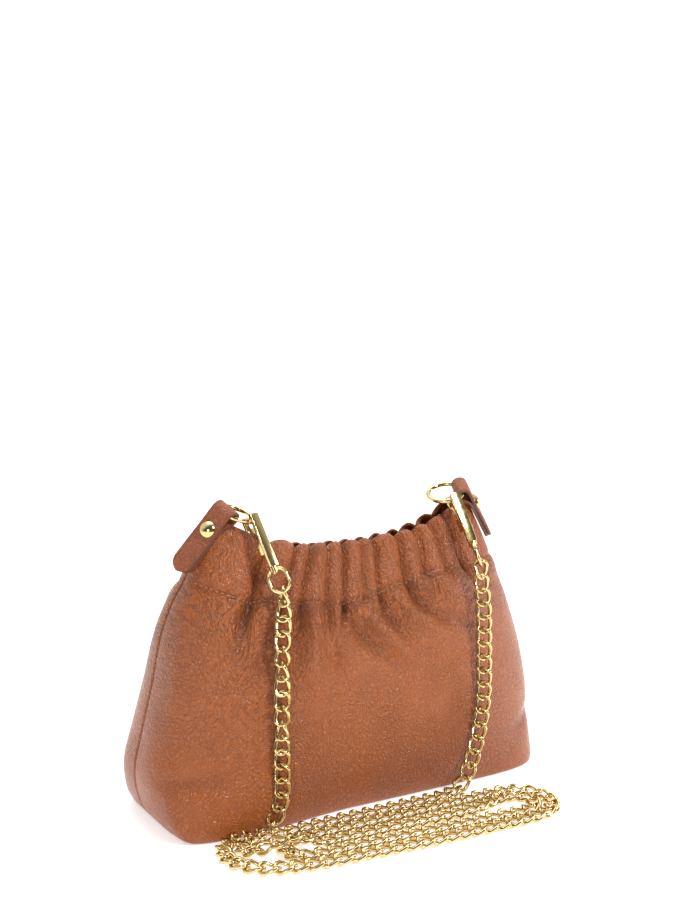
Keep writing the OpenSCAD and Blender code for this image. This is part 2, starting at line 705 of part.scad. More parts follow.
module chain_links(first, last) {
  for (i = [first:last]) {
    s = i * link_step;
    v = along(s + sight) - along(s - sight);
    t = v / norm(v);
    push = (i < link_n / 2 ? -1 : 1) * steep_share * abs(t[2]);
    translate(along(s)) rotate([(i % 2 == 0 ? 1 : -1) * link_roll, -asin(t[2]), atan2(t[1], t[0] + push)])
      chain_link();
  }
}

module left_chain_run() {
  color(gold) chain_links(0, left_run_last);
}

module chain_heap() {
  color(gold) chain_links(left_run_last + 1, right_run_first - 1);
}

module right_chain_run() {
  color(gold) chain_links(right_run_first, link_n - 1);
}

front_panel();
back_panel();
base_board();
lining_front();
lining_back();
elastic_front();
elastic_back();
snap_socket();
snap_stud();
left_tab();
left_rivet_cap();
left_rivet_post();
left_ring();
left_hook_body();
left_hook_gate();
left_gate_pin();
left_gate_spring();
left_swivel_eye();
right_tab();
right_rivet_cap();
right_rivet_post();
right_ring();
right_hook_body();
right_hook_gate();
right_gate_pin();
right_gate_spring();
right_swivel_eye();
left_chain_run();
chain_heap();
right_chain_run();
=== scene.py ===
import math

import bmesh
import bpy
import numpy as np
from mathutils import Matrix, Vector


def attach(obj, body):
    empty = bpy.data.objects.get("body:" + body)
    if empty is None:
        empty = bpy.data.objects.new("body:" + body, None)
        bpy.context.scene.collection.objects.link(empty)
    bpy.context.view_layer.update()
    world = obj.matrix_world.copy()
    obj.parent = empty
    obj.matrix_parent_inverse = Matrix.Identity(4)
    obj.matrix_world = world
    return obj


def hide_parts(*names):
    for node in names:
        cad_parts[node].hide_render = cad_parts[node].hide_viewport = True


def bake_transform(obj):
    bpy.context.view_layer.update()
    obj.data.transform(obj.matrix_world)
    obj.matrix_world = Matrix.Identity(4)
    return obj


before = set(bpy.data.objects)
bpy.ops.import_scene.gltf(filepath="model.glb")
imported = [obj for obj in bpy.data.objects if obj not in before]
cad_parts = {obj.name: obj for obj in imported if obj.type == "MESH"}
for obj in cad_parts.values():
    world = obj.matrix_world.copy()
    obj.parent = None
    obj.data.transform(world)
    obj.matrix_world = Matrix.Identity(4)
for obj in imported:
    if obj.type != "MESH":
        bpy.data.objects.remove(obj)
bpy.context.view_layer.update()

scene = bpy.context.scene
mm = 0.001


# Camera: to the left of the bag and a little above it, looking slightly down, as the photograph
# was taken.
def nothing_selected():
    for item in bpy.context.selected_objects:
        item.select_set(False)


nothing_selected()
bpy.ops.object.camera_add(
    location=(-0.379, -0.666, 0.302), rotation=(math.radians(82.1), 0, math.radians(-29.9))
)
camera = bpy.context.object
camera.name = "studio_camera"
camera.data.lens = 53.74
camera.data.sensor_width = 36
scene.camera = camera

# Chain strap: one length of twisted curb chain of 2.3 mm wire, plated pale gold, hooked on at both
# ends. Its route is the part's: down from the left eye, along the ground in rows, and up to the
# right eye. Points in millimetres.
ring_lift_deg = 18
roll_at = Vector((-77.0, -16.95, 169.95))


def turned(rx, ry, rz):
    return (
        Matrix.Rotation(math.radians(rz), 3, "Z")
        @ Matrix.Rotation(math.radians(ry), 3, "Y")
        @ Matrix.Rotation(math.radians(rx), 3, "X")
    )


tab_turn = turned(28, -27, 110.5)
ring_r, ring_set_in = 10.55, 0.125
ring_tilt = turned(0, 9, 0)
ring_turn = tab_turn @ turned(-ring_lift_deg, 0, 0)
ring_out = ring_r * (1 - ring_set_in)


def on_ring(angle):
    """The place on the ring at an angle in degrees."""
    around = Vector((ring_r * math.cos(math.radians(angle)), -ring_r * math.sin(math.radians(angle)), 0))
    return roll_at + ring_turn @ (ring_tilt @ around + Vector((0, -ring_out, 0)))


left_hook_place, right_hook_place = 174, 193
left_hook_at = on_ring(left_hook_place)
right_hook_at = on_ring(right_hook_place)
right_hook_at.x = -right_hook_at.x
left_hook_turn = turned(-30, 0, 20)
right_hook_turn = turned(-30, -7, -2)
swivel_y, eye_low, eye_in_r = -2.95, -42, 2.7
eye_bottom = Vector((0, swivel_y, eye_low))
left_eye_at = left_hook_at + left_hook_turn @ eye_bottom
right_eye_at = right_hook_at + right_hook_turn @ eye_bottom

# a link's size: radius before it is drawn out, how far each end is drawn, radius of its wire
link_r, link_drawn, wire_r = 3.75, 1.6, 1.15
link_pitch = 7.95
link_hang = eye_in_r - (link_r + link_drawn)
chain_start = left_eye_at + Vector((0, 0, link_hang))
chain_end = right_eye_at + Vector((0, 0, link_hang))
# g is the height of a lying link's middle
g = 3.6
route = [
    tuple(chain_start), tuple(chain_start + Vector((-0.3, -0.6, -9))),
    (-58.6, -47.4, 100), (-60, -49.6, 75), (-61, -51, 50), (-61, -51, 25), (-62, -50.8, 17),
    (-64.5, -50.4, 10), (-70, -50.4, 5), (-78, -50.8, g), (-86, -52, g), (-95, -56, g), (-101.5, -63, g),
    (-104, -72.5, g), (-102, -82, g), (-96, -90, g), (-87, -95.5, g),
    (-70, -100, g), (-40, -103, g), (0, -106, g), (35, -107.5, g), (55, -108, g), (68, -107.5, g),
    (77.5, -105, g), (84.5, -98, g), (87, -89, g), (84.5, -80, g), (77.5, -73, g), (68, -70.5, g),
    (40, -70, g), (0, -70, g), (-40, -69.5, g), (-62, -69.5, g), (-68, -71, g), (-72.5, -75, g),
    (-74, -80.5, g), (-72.5, -86, g), (-68, -90, g), (-61, -91.5, g),
    (-40, -92, g), (0, -95, g), (30, -97, g), (50, -98.5, g), (60, -99.5, g), (67, -99.4, g),
    (73.6, -95.8, g), (76.6, -89, g), (74.2, -82.2, g), (68, -78.6, g), (60, -78.6, g), (52, -80.5, g),
    (38, -83, g), (0, -82, g), (-36, -80.8, g), (-50, -80.5, 4), (-61, -80.5, 8), (-72.5, -80.5, 11.2),
    (-82, -80.5, 9), (-89, -77.5, 6), (-93, -70.5, 4), (-90.5, -63.5, g), (-84.5, -60, g), (-75, -59, g),
    (-40, -59, g), (0, -59.5, g), (30, -59.5, g), (42, -58.2, g), (51, -56, 5.5), (58, -54, 12),
    (63.5, -52, 22), (68, -50.6, 34), (70.5, -50, 46), (71.6, -50, 60), (71.8, -49.4, 80), (72, -48.2, 105),
    tuple(chain_end + Vector((0, -0.8, -9))), tuple(chain_end),
]
ends = [2 * np.array(route[0]) - np.array(route[1]), 2 * np.array(route[-1]) - np.array(route[-2])]
knots = np.array([ends[0], *route, ends[1]])
walk = []
steps = 12
for i in range(len(route) - 1):
    a, b, c, d = knots[i : i + 4]
    for k in range(steps):
        t = k / steps
        walk.append(
            (2 * b + (c - a) * t + (2 * a - 5 * b + 4 * c - d) * t**2 + (3 * b - a - 3 * c + d) * t**3) / 2
        )
walk.append(knots[-2])
walk = np.array(walk)
walk_l = np.concatenate([[0], np.cumsum(np.linalg.norm(np.diff(walk, axis=0), axis=1))])
chain_l = walk_l[-1]
link_n = 2 * round(chain_l / link_pitch / 2) + 1
link_step = chain_l / (link_n - 1)


def along(s):
    """The place at s millimetres along the chain's route."""
    return np.array([np.interp(s, walk_l, walk[:, k]) for k in range(3)]).T


def smooth_step(u):
    v = np.clip(u, 0, 1)
    return v * v * (3 - 2 * v)


def with_modifier(piece, kind, **settings):
    """Adds a modifier to the piece and applies it."""
    nothing_selected()
    bpy.context.view_layer.objects.active = piece
    piece.select_set(True)
    bpy.ops.object.modifier_add(type=kind)
    modifier = piece.modifiers[-1]
    for key, value in settings.items():
        setattr(modifier, key, value)
    bpy.ops.object.modifier_apply(modifier=modifier.name)


def linear(code):
    """An sRGB hex colour as linear values."""
    parts = [int(code[i : i + 2], 16) / 255 for i in (1, 3, 5)]
    return (*[p / 12.92 if p <= 0.04045 else ((p + 0.055) / 1.055) ** 2.4 for p in parts], 1)


def node(tree, kind, links=(), **settings):
    """Adds one node, sets its properties and inputs, and links its inputs."""
    made = tree.nodes.new(kind)
    for key, value in settings.items():
        if key.startswith("in_"):
            socket = key[3:].replace("_", " ")
            made.inputs[int(socket) if socket.isdigit() else socket].default_value = value
        else:
            setattr(made, key, value)
    for socket, source in links:
        tree.links.new(source, made.inputs[socket])
    return made


def select_in(piece, wanted, kind="verts"):
    """Opens the piece in edit mode with only the wanted vertices, edges or faces selected."""
    bpy.context.view_layer.objects.active = piece
    bpy.ops.object.mode_set(mode="EDIT")
    bpy.ops.mesh.select_mode(type={"verts": "VERT", "edges": "EDGE", "faces": "FACE"}[kind])
    bpy.ops.mesh.select_all(action="DESELECT")
    shape = bmesh.from_edit_mesh(piece.data)
    for part in getattr(shape, kind):
        part.select_set(bool(wanted(part)))
    shape.select_flush_mode()
    bmesh.update_edit_mesh(piece.data)


def plated(name, colour, rough, scratch):
    """Zinc or brass, polished and plated: a mirror softened by fine polishing marks and handling."""
    material = bpy.data.materials.new(name)
    material.use_nodes = True
    tree = material.node_tree
    tree.nodes.clear()
    place = node(tree, "ShaderNodeTexCoord")
    haze = node(tree, "ShaderNodeTexNoise", [("Vector", place.outputs["Object"])], in_Scale=260.0,
                in_Detail=3.0)
    polish = node(tree, "ShaderNodeTexNoise", [("Vector", place.outputs["Object"])], in_Scale=2400.0,
                  in_Detail=2.0)
    dulled = node(tree, "ShaderNodeMapRange", [("Value", haze.outputs["Fac"])], in_1=0.3, in_2=0.7,
                  in_3=rough, in_4=rough + 0.1)
    tone = node(tree, "ShaderNodeMixRGB", [("Fac", haze.outputs["Fac"])], in_Color1=linear(colour[0]),
                in_Color2=linear(colour[1]))
    marks = node(tree, "ShaderNodeBump", [("Height", polish.outputs["Fac"])], in_Strength=scratch,
                 in_Distance=0.00004)
    shader = node(tree, "ShaderNodeBsdfPrincipled",
                  [("Base Color", tone.outputs["Color"]), ("Roughness", dulled.outputs[0]),
                   ("Normal", marks.outputs["Normal"])],
                  in_Metallic=1.0)
    node(tree, "ShaderNodeOutputMaterial", [("Surface", shader.outputs["BSDF"])])
    return material


# pale gold over polished metal: near-white highlights, straw in between, dark where it sees the room
gold_plate = plated("pale_gold_plate_polished", ("#dfc894", "#c9ac70"), 0.09, 0.05)

links_s = np.arange(link_n) * link_step
ahead = along(np.minimum(links_s + 3, chain_l)) - along(np.maximum(links_s - 3, 0))
ahead /= np.linalg.norm(ahead, axis=1)[:, None]
# the way each link faces, in degrees about z, where the chain hangs
left_faces = [180, 214, 240, 246, 214, 194, 228, 246, 222, 194, 226, 246, 238]
right_faces = [240, 240, 242, 240, 238, 241, 240, 239, 242, 240, 246, 256, 270]
lying_faces = np.full(link_n - len(left_faces) - len(right_faces), 240)
faces = np.radians(np.concatenate([left_faces, lying_faces, right_faces]))
lying_face = np.array([-0.05, -0.05, 1.0])
hanging = smooth_step((np.abs(ahead[:, 2]) - 0.35) / 0.5)[:, None]
facing = lying_face * (1 - hanging)
facing = facing + np.stack([np.cos(faces), np.sin(faces), np.zeros(link_n)], -1) * hanging
facing -= ahead * (facing * ahead).sum(1)[:, None]
facing /= np.linalg.norm(facing, axis=1)[:, None]

# one link: a ring of wire drawn out to an oval, then twisted a quarter turn from end to end
nothing_selected()
bpy.ops.mesh.primitive_torus_add(
    major_radius=link_r * mm, minor_radius=wire_r * mm, major_segments=14, minor_segments=6
)
link = bpy.context.object
select_in(link, lambda v: v.co.x > 0)
bpy.ops.transform.translate(value=(link_drawn * mm, 0, 0))
select_in(link, lambda v: v.co.x < 0)
bpy.ops.transform.translate(value=(-link_drawn * mm, 0, 0))
select_in(link, lambda edge: abs(edge.verts[0].co.x - edge.verts[1].co.x) > 3 * mm, "edges")
bpy.ops.mesh.subdivide(number_cuts=2)
bpy.ops.object.mode_set(mode="OBJECT")
with_modifier(link, "SIMPLE_DEFORM", deform_method="TWIST", deform_axis="X", angle=-math.pi / 2)
link_verts = np.array([v.co[:] for v in link.data.vertices]) / mm
link_faces = np.array([p.vertices[:] for p in link.data.polygons])
bpy.data.objects.remove(link)

turns = np.stack([ahead, np.cross(facing, ahead), facing], -1)
all_verts = np.einsum("nij,vj->nvi", turns, link_verts) + along(links_s)[:, None, :]
all_faces = link_faces[None] + np.arange(link_n)[:, None, None] * len(link_verts)


def chain_stretch(name, first, last, *replaced):
    """The links from first to last as one piece."""
    mesh = bpy.data.meshes.new(name)
    verts = (all_verts[first:last].reshape(-1, 3) * mm).tolist()
    mesh.from_pydata(verts, [], all_faces[: last - first].reshape(-1, 4).tolist())
    mesh.polygons.foreach_set("use_smooth", [True] * len(mesh.polygons))
    mesh.materials.append(gold_plate)
    piece = bpy.data.objects.new(name, mesh)
    scene.collection.objects.link(piece)
    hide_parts(*replaced)
    return piece


# the ground's links stay with the bag, and each hanging run is cut into three stretches, one for each joint
# between the bag and the eye
heights = along(links_s)[:, 2]
breaks = (115, 91, 10)
# two heights for each of the three stretches
run_levels = [(116, 127), (92, 114), (50, 90)]
left_at = [0, *[int(np.argmax(heights < z)) for z in breaks]]
right_at = [link_n, *[link_n - int(np.argmax(heights[::-1] < z)) for z in breaks]]


for hand, at, eye in (("left", left_at, chain_start), ("right", right_at, chain_end)):
    run_bodies = [f"{hand}_eye", f"{hand}_hook", f"{hand}_ring", "bag"]
    for part_name, a, b, upper, lower, level in zip(
        ("top", "middle", "low"), at, at[1:], run_bodies, run_bodies[1:], run_levels
    ):
        piece = chain_stretch(f"curb_chain_{hand}_{part_name}", min(a, b), max(a, b), f"{hand}_chain_run")
        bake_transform(piece)
chain_heap = chain_stretch("curb_chain_heap", left_at[-1], right_at[-1], "chain_heap")
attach(chain_heap, "bag")


# Outer leather: two panels of pebbled full-grain cowhide, cut flat, sewn down the sides and
# across the base, and turned. The hem is folded over an elastic, which gathers the mouth.
bag_l, bag_d, hem_h = 250, 96, 147
half_l = bag_l / 2
end_lift, hem_lean, back_drop = 20, 12, 3
mouth_pinch, pinch_at, pinch_half = 3, -0.12, 0.7
leather_t, edge_r, seam_gap, seam_r = 1.4, 3, 0.3, 1.6
fold_t = 4.6
fold_h = hem_h - fold_t / 2
# at ten heights: the half widths left and right and the half depths, as shares of bag_l and bag_d,
# and the power that squares the ends
height_shares = np.array([0, 0.081, 0.203, 0.338, 0.507, 0.676, 0.777, 0.845, 0.912, 1])
left_shares = np.array([0.460, 0.488, 0.500, 0.484, 0.460, 0.440, 0.416, 0.388, 0.368, 0.328])
right_shares = np.array([0.488, 0.502, 0.504, 0.504, 0.484, 0.448, 0.416, 0.392, 0.368, 0.328])
depth_shares = np.array([0.448, 0.479, 0.500, 0.500, 0.479, 0.427, 0.370, 0.3125, 0.219, 0.099])
corner_powers = np.array([7, 4.5, 3.4, 3.0, 2.8, 2.6, 2.5, 2.4, 2.4, 2.4])


def level_value(table, s):
    """A table's value at the share s of the height, along a smooth curve."""
    i = np.clip(np.searchsorted(height_shares, s, side="right") - 1, 0, 8)
    w = height_shares[i + 1] - height_shares[i]
    u = (s - height_shares[i]) / w
    lo, hi = np.maximum(np.arange(10) - 1, 0), np.minimum(np.arange(10) + 1, 9)
    slope = (table[hi] - table[lo]) / (height_shares[hi] - height_shares[lo])
    return (
        table[i] * (2 * u**3 - 3 * u**2 + 1) + w * slope[i] * (u**3 - 2 * u**2 + u)
        + table[i + 1] * (3 * u**2 - 2 * u**3) + w * slope[i + 1] * (u**3 - u**2)
    )


def plain_wall(c, h, inset, side):
    """A point of the bag before its gathers and folds: c across from seam to seam, -1 to 1, h up."""
    s = h / hem_h
    a = np.where(c < 0, bag_l * level_value(left_shares, s), bag_l * level_value(right_shares, s)) - inset
    n = level_value(corner_powers, s)
    b = bag_d * level_value(depth_shares, s) - inset
    r = np.minimum(seam_r, np.maximum(b, 0) * 0.4)
    bulge = seam_gap / 2 + r + (b - r) * np.maximum(1 - np.abs(c) ** n, 0) ** (1 / n)
    u = (c - pinch_at) / pinch_half
    pinch = np.where(np.abs(u) < 1, mouth_pinch * np.cos(np.pi / 2 * np.clip(u, -1, 1)) ** 2, 0)
    x = a * c
    y = -hem_lean * s**3 + side * bulge - (pinch * s**4 if side > 0 else 0)
    z = h + s**4 * (end_lift * np.abs(c) ** 3 - (back_drop * (1 - np.abs(c) ** 3) if side > 0 else 0))
    return np.stack(np.broadcast_arrays(x, y, z), -1)


# creases of the gathered hem: place at the top edge, place at the stitch line, depth in mm
front_creases = [
    (-1.0, -1.0, 0.2), (-0.664, -0.70, 2.6), (-0.44, -0.53, 1.7), (-0.33, -0.415, 2.0), (-0.195, -0.27, 1.5),
    (-0.075, -0.155, 2.6), (0.05, -0.03, 0.8), (0.165, 0.075, 2.2), (0.36, 0.27, 2.2), (0.515, 0.43, 2.2),
    (0.645, 0.58, 1.3), (0.786, 0.71, 2.2), (0.88, 0.84, 1.2), (1.0, 1.0, 0.2),
]
back_creases = [
    (-1.0, -1.0, 0.2), (-0.70, -0.72, 1.8), (-0.56, -0.60, 1.6), (-0.43, -0.45, 2.2), (-0.28, -0.30, 1.7),
    (-0.16, -0.15, 2.3), (-0.02, -0.02, 1.6), (0.11, 0.13, 2.0), (0.24, 0.25, 1.8), (0.39, 0.41, 2.3),
    (0.52, 0.53, 1.5), (0.66, 0.68, 2.2), (0.80, 0.81, 1.6), (1.0, 1.0, 0.2),
]
stitch_c = [-1, -0.9, -0.74, -0.58, -0.415, -0.25, -0.16, -0.014, 0.14, 0.325, 0.517, 0.694, 0.856, 1]
stitch_h = [124.5, 123.3, 121.5, 121.3, 120.6, 118.8, 118.2, 119.8, 122.6, 125.4, 126.0, 125.0, 122.5, 121.5]


def stitch_height(c, side):
    """The height of the hem's stitch line: drawn on the front, a plain wave on the back."""
    return np.interp(c, stitch_c, stitch_h) if side < 0 else 121.5 + 1.2 * np.sin(5 * c)


# long folds below the stitch line of the front: points of (c, height, depth, width)
front_folds = [
    [(-0.70, 122, 2.4, 2.2), (-0.714, 115, 2.6, 3.2), (-0.729, 103, 1.8, 5.5), (-0.745, 88, 0.9, 8),
     (-0.77, 72, 0, 10)],
    [(-0.53, 120, 1.2, 2), (-0.56, 108, 1.8, 4), (-0.60, 92, 1.6, 7), (-0.66, 76, 0, 9)],
    [(-0.415, 119, 1.8, 1.8), (-0.43, 108, 1.8, 3), (-0.45, 94, 1.0, 5), (-0.47, 78, 0, 7)],
    [(-0.27, 118, 1.2, 1.6), (-0.27, 108, 1.0, 3), (-0.26, 96, 0, 4)],
    [(-0.155, 117.6, 2.4, 1.6), (-0.176, 109, 2.2, 2.6), (-0.21, 94, 1.5, 5), (-0.26, 78, 0, 8)],
    [(-0.15, 116, 1.2, 1.6), (-0.10, 104, 1.8, 2.6), (0.0, 92, 1.8, 3.4), (0.13, 80, 1.0, 5),
     (0.24, 70, 0, 6)],
    [(0.075, 119, 1.8, 1.6), (0.085, 111, 2.0, 2.4), (0.155, 99, 1.8, 3.2), (0.26, 86, 1.0, 4.6),
     (0.36, 77, 0, 6)],
    [(0.27, 123, 1.8, 1.6), (0.29, 114, 2.0, 2.4), (0.42, 103, 1.8, 3.0), (0.59, 94, 1.2, 4),
     (0.74, 88, 0, 5)],
    [(0.71, 124, 1.6, 1.6), (0.74, 115, 1.2, 2.6), (0.76, 104, 0, 4)],
    [(-0.99, 31, 0.4, 4), (-0.92, 31, 1.3, 4.5), (-0.77, 32.5, 1.3, 5), (-0.62, 33.5, 0, 6)],
    [(0.98, 34, 0.6, 4), (0.93, 31, 1.6, 4.5), (0.84, 26, 1.2, 5), (0.74, 22, 0, 6)],
]
# swells between them: points of (c, height, rise, width)
front_swells = [
    [(-0.86, 116, 0, 8), (-0.88, 100, 1.2, 13), (-0.88, 78, 1.4, 18), (-0.84, 55, 0, 18)],
    [(-0.34, 118, 1.6, 5), (-0.345, 104, 2.4, 6.5), (-0.36, 88, 1.7, 8), (-0.38, 68, 0, 10)],
    [(-0.225, 116, 0.9, 4), (-0.215, 106, 1.5, 5), (-0.17, 90, 1.6, 7), (-0.13, 72, 0, 9)],
    [(-0.06, 114, 1.2, 4), (0.02, 104, 2.0, 5), (0.14, 91, 1.6, 6), (0.28, 78, 0, 7)],
    [(0.17, 117, 1.2, 4), (0.24, 107, 1.9, 5), (0.38, 96, 1.6, 6), (0.52, 86, 0, 7)],
    [(0.40, 122, 1.4, 5.5), (0.52, 115, 2.3, 7), (0.64, 107, 1.8, 8), (0.76, 96, 0, 9)],
]
back_folds = [
    [(-0.60, 121, 1.8, 2), (-0.62, 108, 1.6, 4), (-0.66, 88, 0, 7)],
    [(-0.45, 121, 1.8, 2), (-0.48, 106, 1.6, 4), (-0.50, 84, 0, 7)],
    [(-0.15, 121, 2.2, 2), (-0.17, 104, 1.6, 4), (-0.22, 80, 0, 7)],
    [(0.13, 121, 2.0, 2), (0.16, 106, 1.6, 4), (0.19, 84, 0, 7)],
    [(0.41, 121, 2.2, 2), (0.45, 104, 1.8, 4.5), (0.50, 80, 0, 7)],
    [(0.68, 121, 2.0, 2), (0.72, 106, 1.5, 4), (0.76, 84, 0, 7)],
]
back_swells = [
    [(-0.30, 114, 1.0, 5), (-0.32, 98, 1.2, 7), (-0.36, 78, 0, 9)],
    [(0.28, 114, 1.0, 5), (0.31, 98, 1.2, 7), (0.34, 78, 0, 9)],
]


def line_height(x, h, line):
    """How much a fold or swell adds at (x, h): largest over its stretches."""
    best = np.zeros_like(x)
    for (c0, h0, d0, w0), (c1, h1, d1, w1) in zip(line, line[1:]):
        a0 = bag_l * level_value(left_shares if c0 < 0 else right_shares, h0 / hem_h)
        a1 = bag_l * level_value(left_shares if c1 < 0 else right_shares, h1 / hem_h)
        px, ph, qx, qh = c0 * a0, h0, c1 * a1, h1
        length2 = (qx - px) ** 2 + (qh - ph) ** 2
        t = np.clip(((x - px) * (qx - px) + (h - ph) * (qh - ph)) / length2, 0, 1)
        dist = np.hypot(x - px - t * (qx - px), h - ph - t * (qh - ph))
        value = (d0 + t * (d1 - d0)) * np.exp(-((dist / (w0 + t * (w1 - w0))) ** 2))
        best = np.maximum(best, value)
    return best


# half the hem's length, in mm
hem_half = 82


def hem_wave(c, h, side):
    """Rounded puffs between sharp creases, from -depth to about +1 mm."""
    creases = np.array(front_creases if side < 0 else back_creases)
    s = smooth_step((h - stitch_height(c, side)) / (hem_h - stitch_height(c, side)))
    at = creases[:, 1][:, None] + (creases[:, 0] - creases[:, 1])[:, None] * s.ravel()[None, :]
    cc = c.ravel()
    k = np.clip((at <= cc[None, :]).sum(0) - 1, 0, len(creases) - 2)
    cols = np.arange(cc.size)
    lo, hi = at[k, cols], at[k + 1, cols]
    phase = np.clip((cc - lo) / (hi - lo), 0, 1)
    puff = np.sin(np.pi * phase) ** 0.55
    width = (hi - lo) * hem_half
    depth = creases[k, 2] + (creases[k + 1, 2] - creases[k, 2]) * smooth_step((phase - 0.3) / 0.4)
    rise = np.minimum(1.3 + 0.9 * smooth_step((0.78 - np.abs(cc)) / 0.12), 0.13 * width)
    return (-1.15 * depth + (1.15 * depth + rise) * puff).reshape(c.shape)


# the folds and swells are drawn by these times the heights in the tables
fold_gain, swell_gain = 1.2, 1.8


def relief(c, h, side):
    """How far the leather stands out of the plain wall, in mm."""
    s = h / hem_h
    x = c * np.where(c < 0, bag_l * level_value(left_shares, s), bag_l * level_value(right_shares, s))
    stitch = stitch_height(c, side)
    fade = np.where(h > stitch, 1, np.exp(-(((stitch - h) / 9) ** 2)))
    out = hem_wave(c, np.maximum(h, stitch), side) * fade
    for line in front_folds if side < 0 else back_folds:
        out = out - fold_gain * line_height(x, h, line) * (1 - 0.7 * smooth_step((h - stitch + 3) / 4))
    for line in front_swells if side < 0 else back_swells:
        out = out + swell_gain * line_height(x, h, line) * (1 - smooth_step((h - stitch + 4) / 5))
    out = out - 1.1 * np.exp(-(((h - stitch) / 1.1) ** 2))
    out = out + 0.5 * np.exp(-(((h - stitch + 5) / 3.5) ** 2))
    return out * (1 - smooth_step((np.abs(c) - 0.955) / 0.045)) * smooth_step((h - 4) / 14)


foot_out, foot_h = 6.5, 30


def leather_point(c, h, inset, side):
    """A point of the leather, its lining or its elastic, with gathers and folds, in mm."""
    c, h, inset = np.broadcast_arrays(np.asarray(c, float), np.asarray(h, float), np.asarray(inset, float))
    theta = np.arcsin(np.clip(c, -0.9995, 0.9995))
    along_c = plain_wall(np.sin(theta + 0.002), h, 0, side) - plain_wall(np.sin(theta - 0.002), h, 0, side)
    along_h = plain_wall(np.sin(theta), np.minimum(h + 0.2, hem_h), 0, side) - plain_wall(
        np.sin(theta), np.maximum(h - 0.2, 0), 0, side)
    normal = np.cross(along_c, along_h) * -side
    normal /= np.linalg.norm(normal, axis=-1, keepdims=True) + 1e-12
    out = relief(c, h, side)
    point = plain_wall(c, h, inset, side) + normal * out[..., None]
    # the front's left foot stands further out, level with the floor, as in the photograph
    if side < 0:
        b = bag_d * level_value(depth_shares, h / hem_h)
        share = np.clip((inset - edge_r) / (b - edge_r), 0, 1)
        foot = foot_out * smooth_step((-c - 0.1) / 0.65) * smooth_step((1 + c) / 0.07)
        foot = foot * np.exp(-((h / foot_h) ** 2)) * (1 - share)
        point = point + normal * [1, 1, 0] * foot[..., None]
    # the puffs stand up a little at the mouth and the creases dip
    point[..., 2] += (h / hem_h) ** 6 * 0.8 * np.clip(out, -3, 2.2)
    return point


def sheet_of(c, h, inset, side):
    """Grid of points over the sheet, with its two side edges turned in at the seam."""
    c, h, inset = np.broadcast_arrays(c, h, inset)
    body = leather_point(c, h, inset, side)
    s = h[:, :1] / hem_h
    b = bag_d * level_value(depth_shares, s) - inset[:, :1]
    r = np.minimum(seam_r, np.maximum(b, 0) * 0.4)
    strips = []
    for edge in (0, -1):
        turn = np.radians([22.5, 45, 67.5, 90])[None, :]
        corner = body[:, edge][:, None, :].repeat(4, axis=1)
        sign = -1 if edge == 0 else 1
        corner[..., 0] -= sign * r * (1 - np.cos(turn))
        corner[..., 1] -= side * r * np.sin(turn)
        strips.append(corner[:, ::-1] if edge == 0 else corner)
    return np.concatenate([strips[0], body, strips[1]], axis=1)


def grid_mesh(name, points, side, uv=None, shares=None):
    """A mesh of a grid of points, facing outwards."""
    rows, cols = points.shape[:2]
    at = np.arange(rows * cols).reshape(rows, cols)
    quads = np.stack([at[:-1, :-1], at[:-1, 1:], at[1:, 1:], at[1:, :-1]], -1).reshape(-1, 4)
    if side > 0:
        quads = quads[:, ::-1]
    mesh = bpy.data.meshes.new(name)
    mesh.from_pydata((points.reshape(-1, 3) * mm).tolist(), [], quads.tolist())
    if uv is not None:
        layer = mesh.uv_layers.new(name="cut_mm")
        flat = uv.reshape(-1, 2)[quads.ravel()] * mm
        layer.data.foreach_set("uv", flat.ravel().astype(np.float32))
    for key, value in (shares or {}).items():
        mesh.attributes.new(key, "FLOAT", "POINT").data.foreach_set("value", value.ravel().astype(np.float32))
    piece = bpy.data.objects.new(name, mesh)
    scene.collection.objects.link(piece)
    mesh.polygons.foreach_set("use_smooth", [True] * len(mesh.polygons))
    return piece


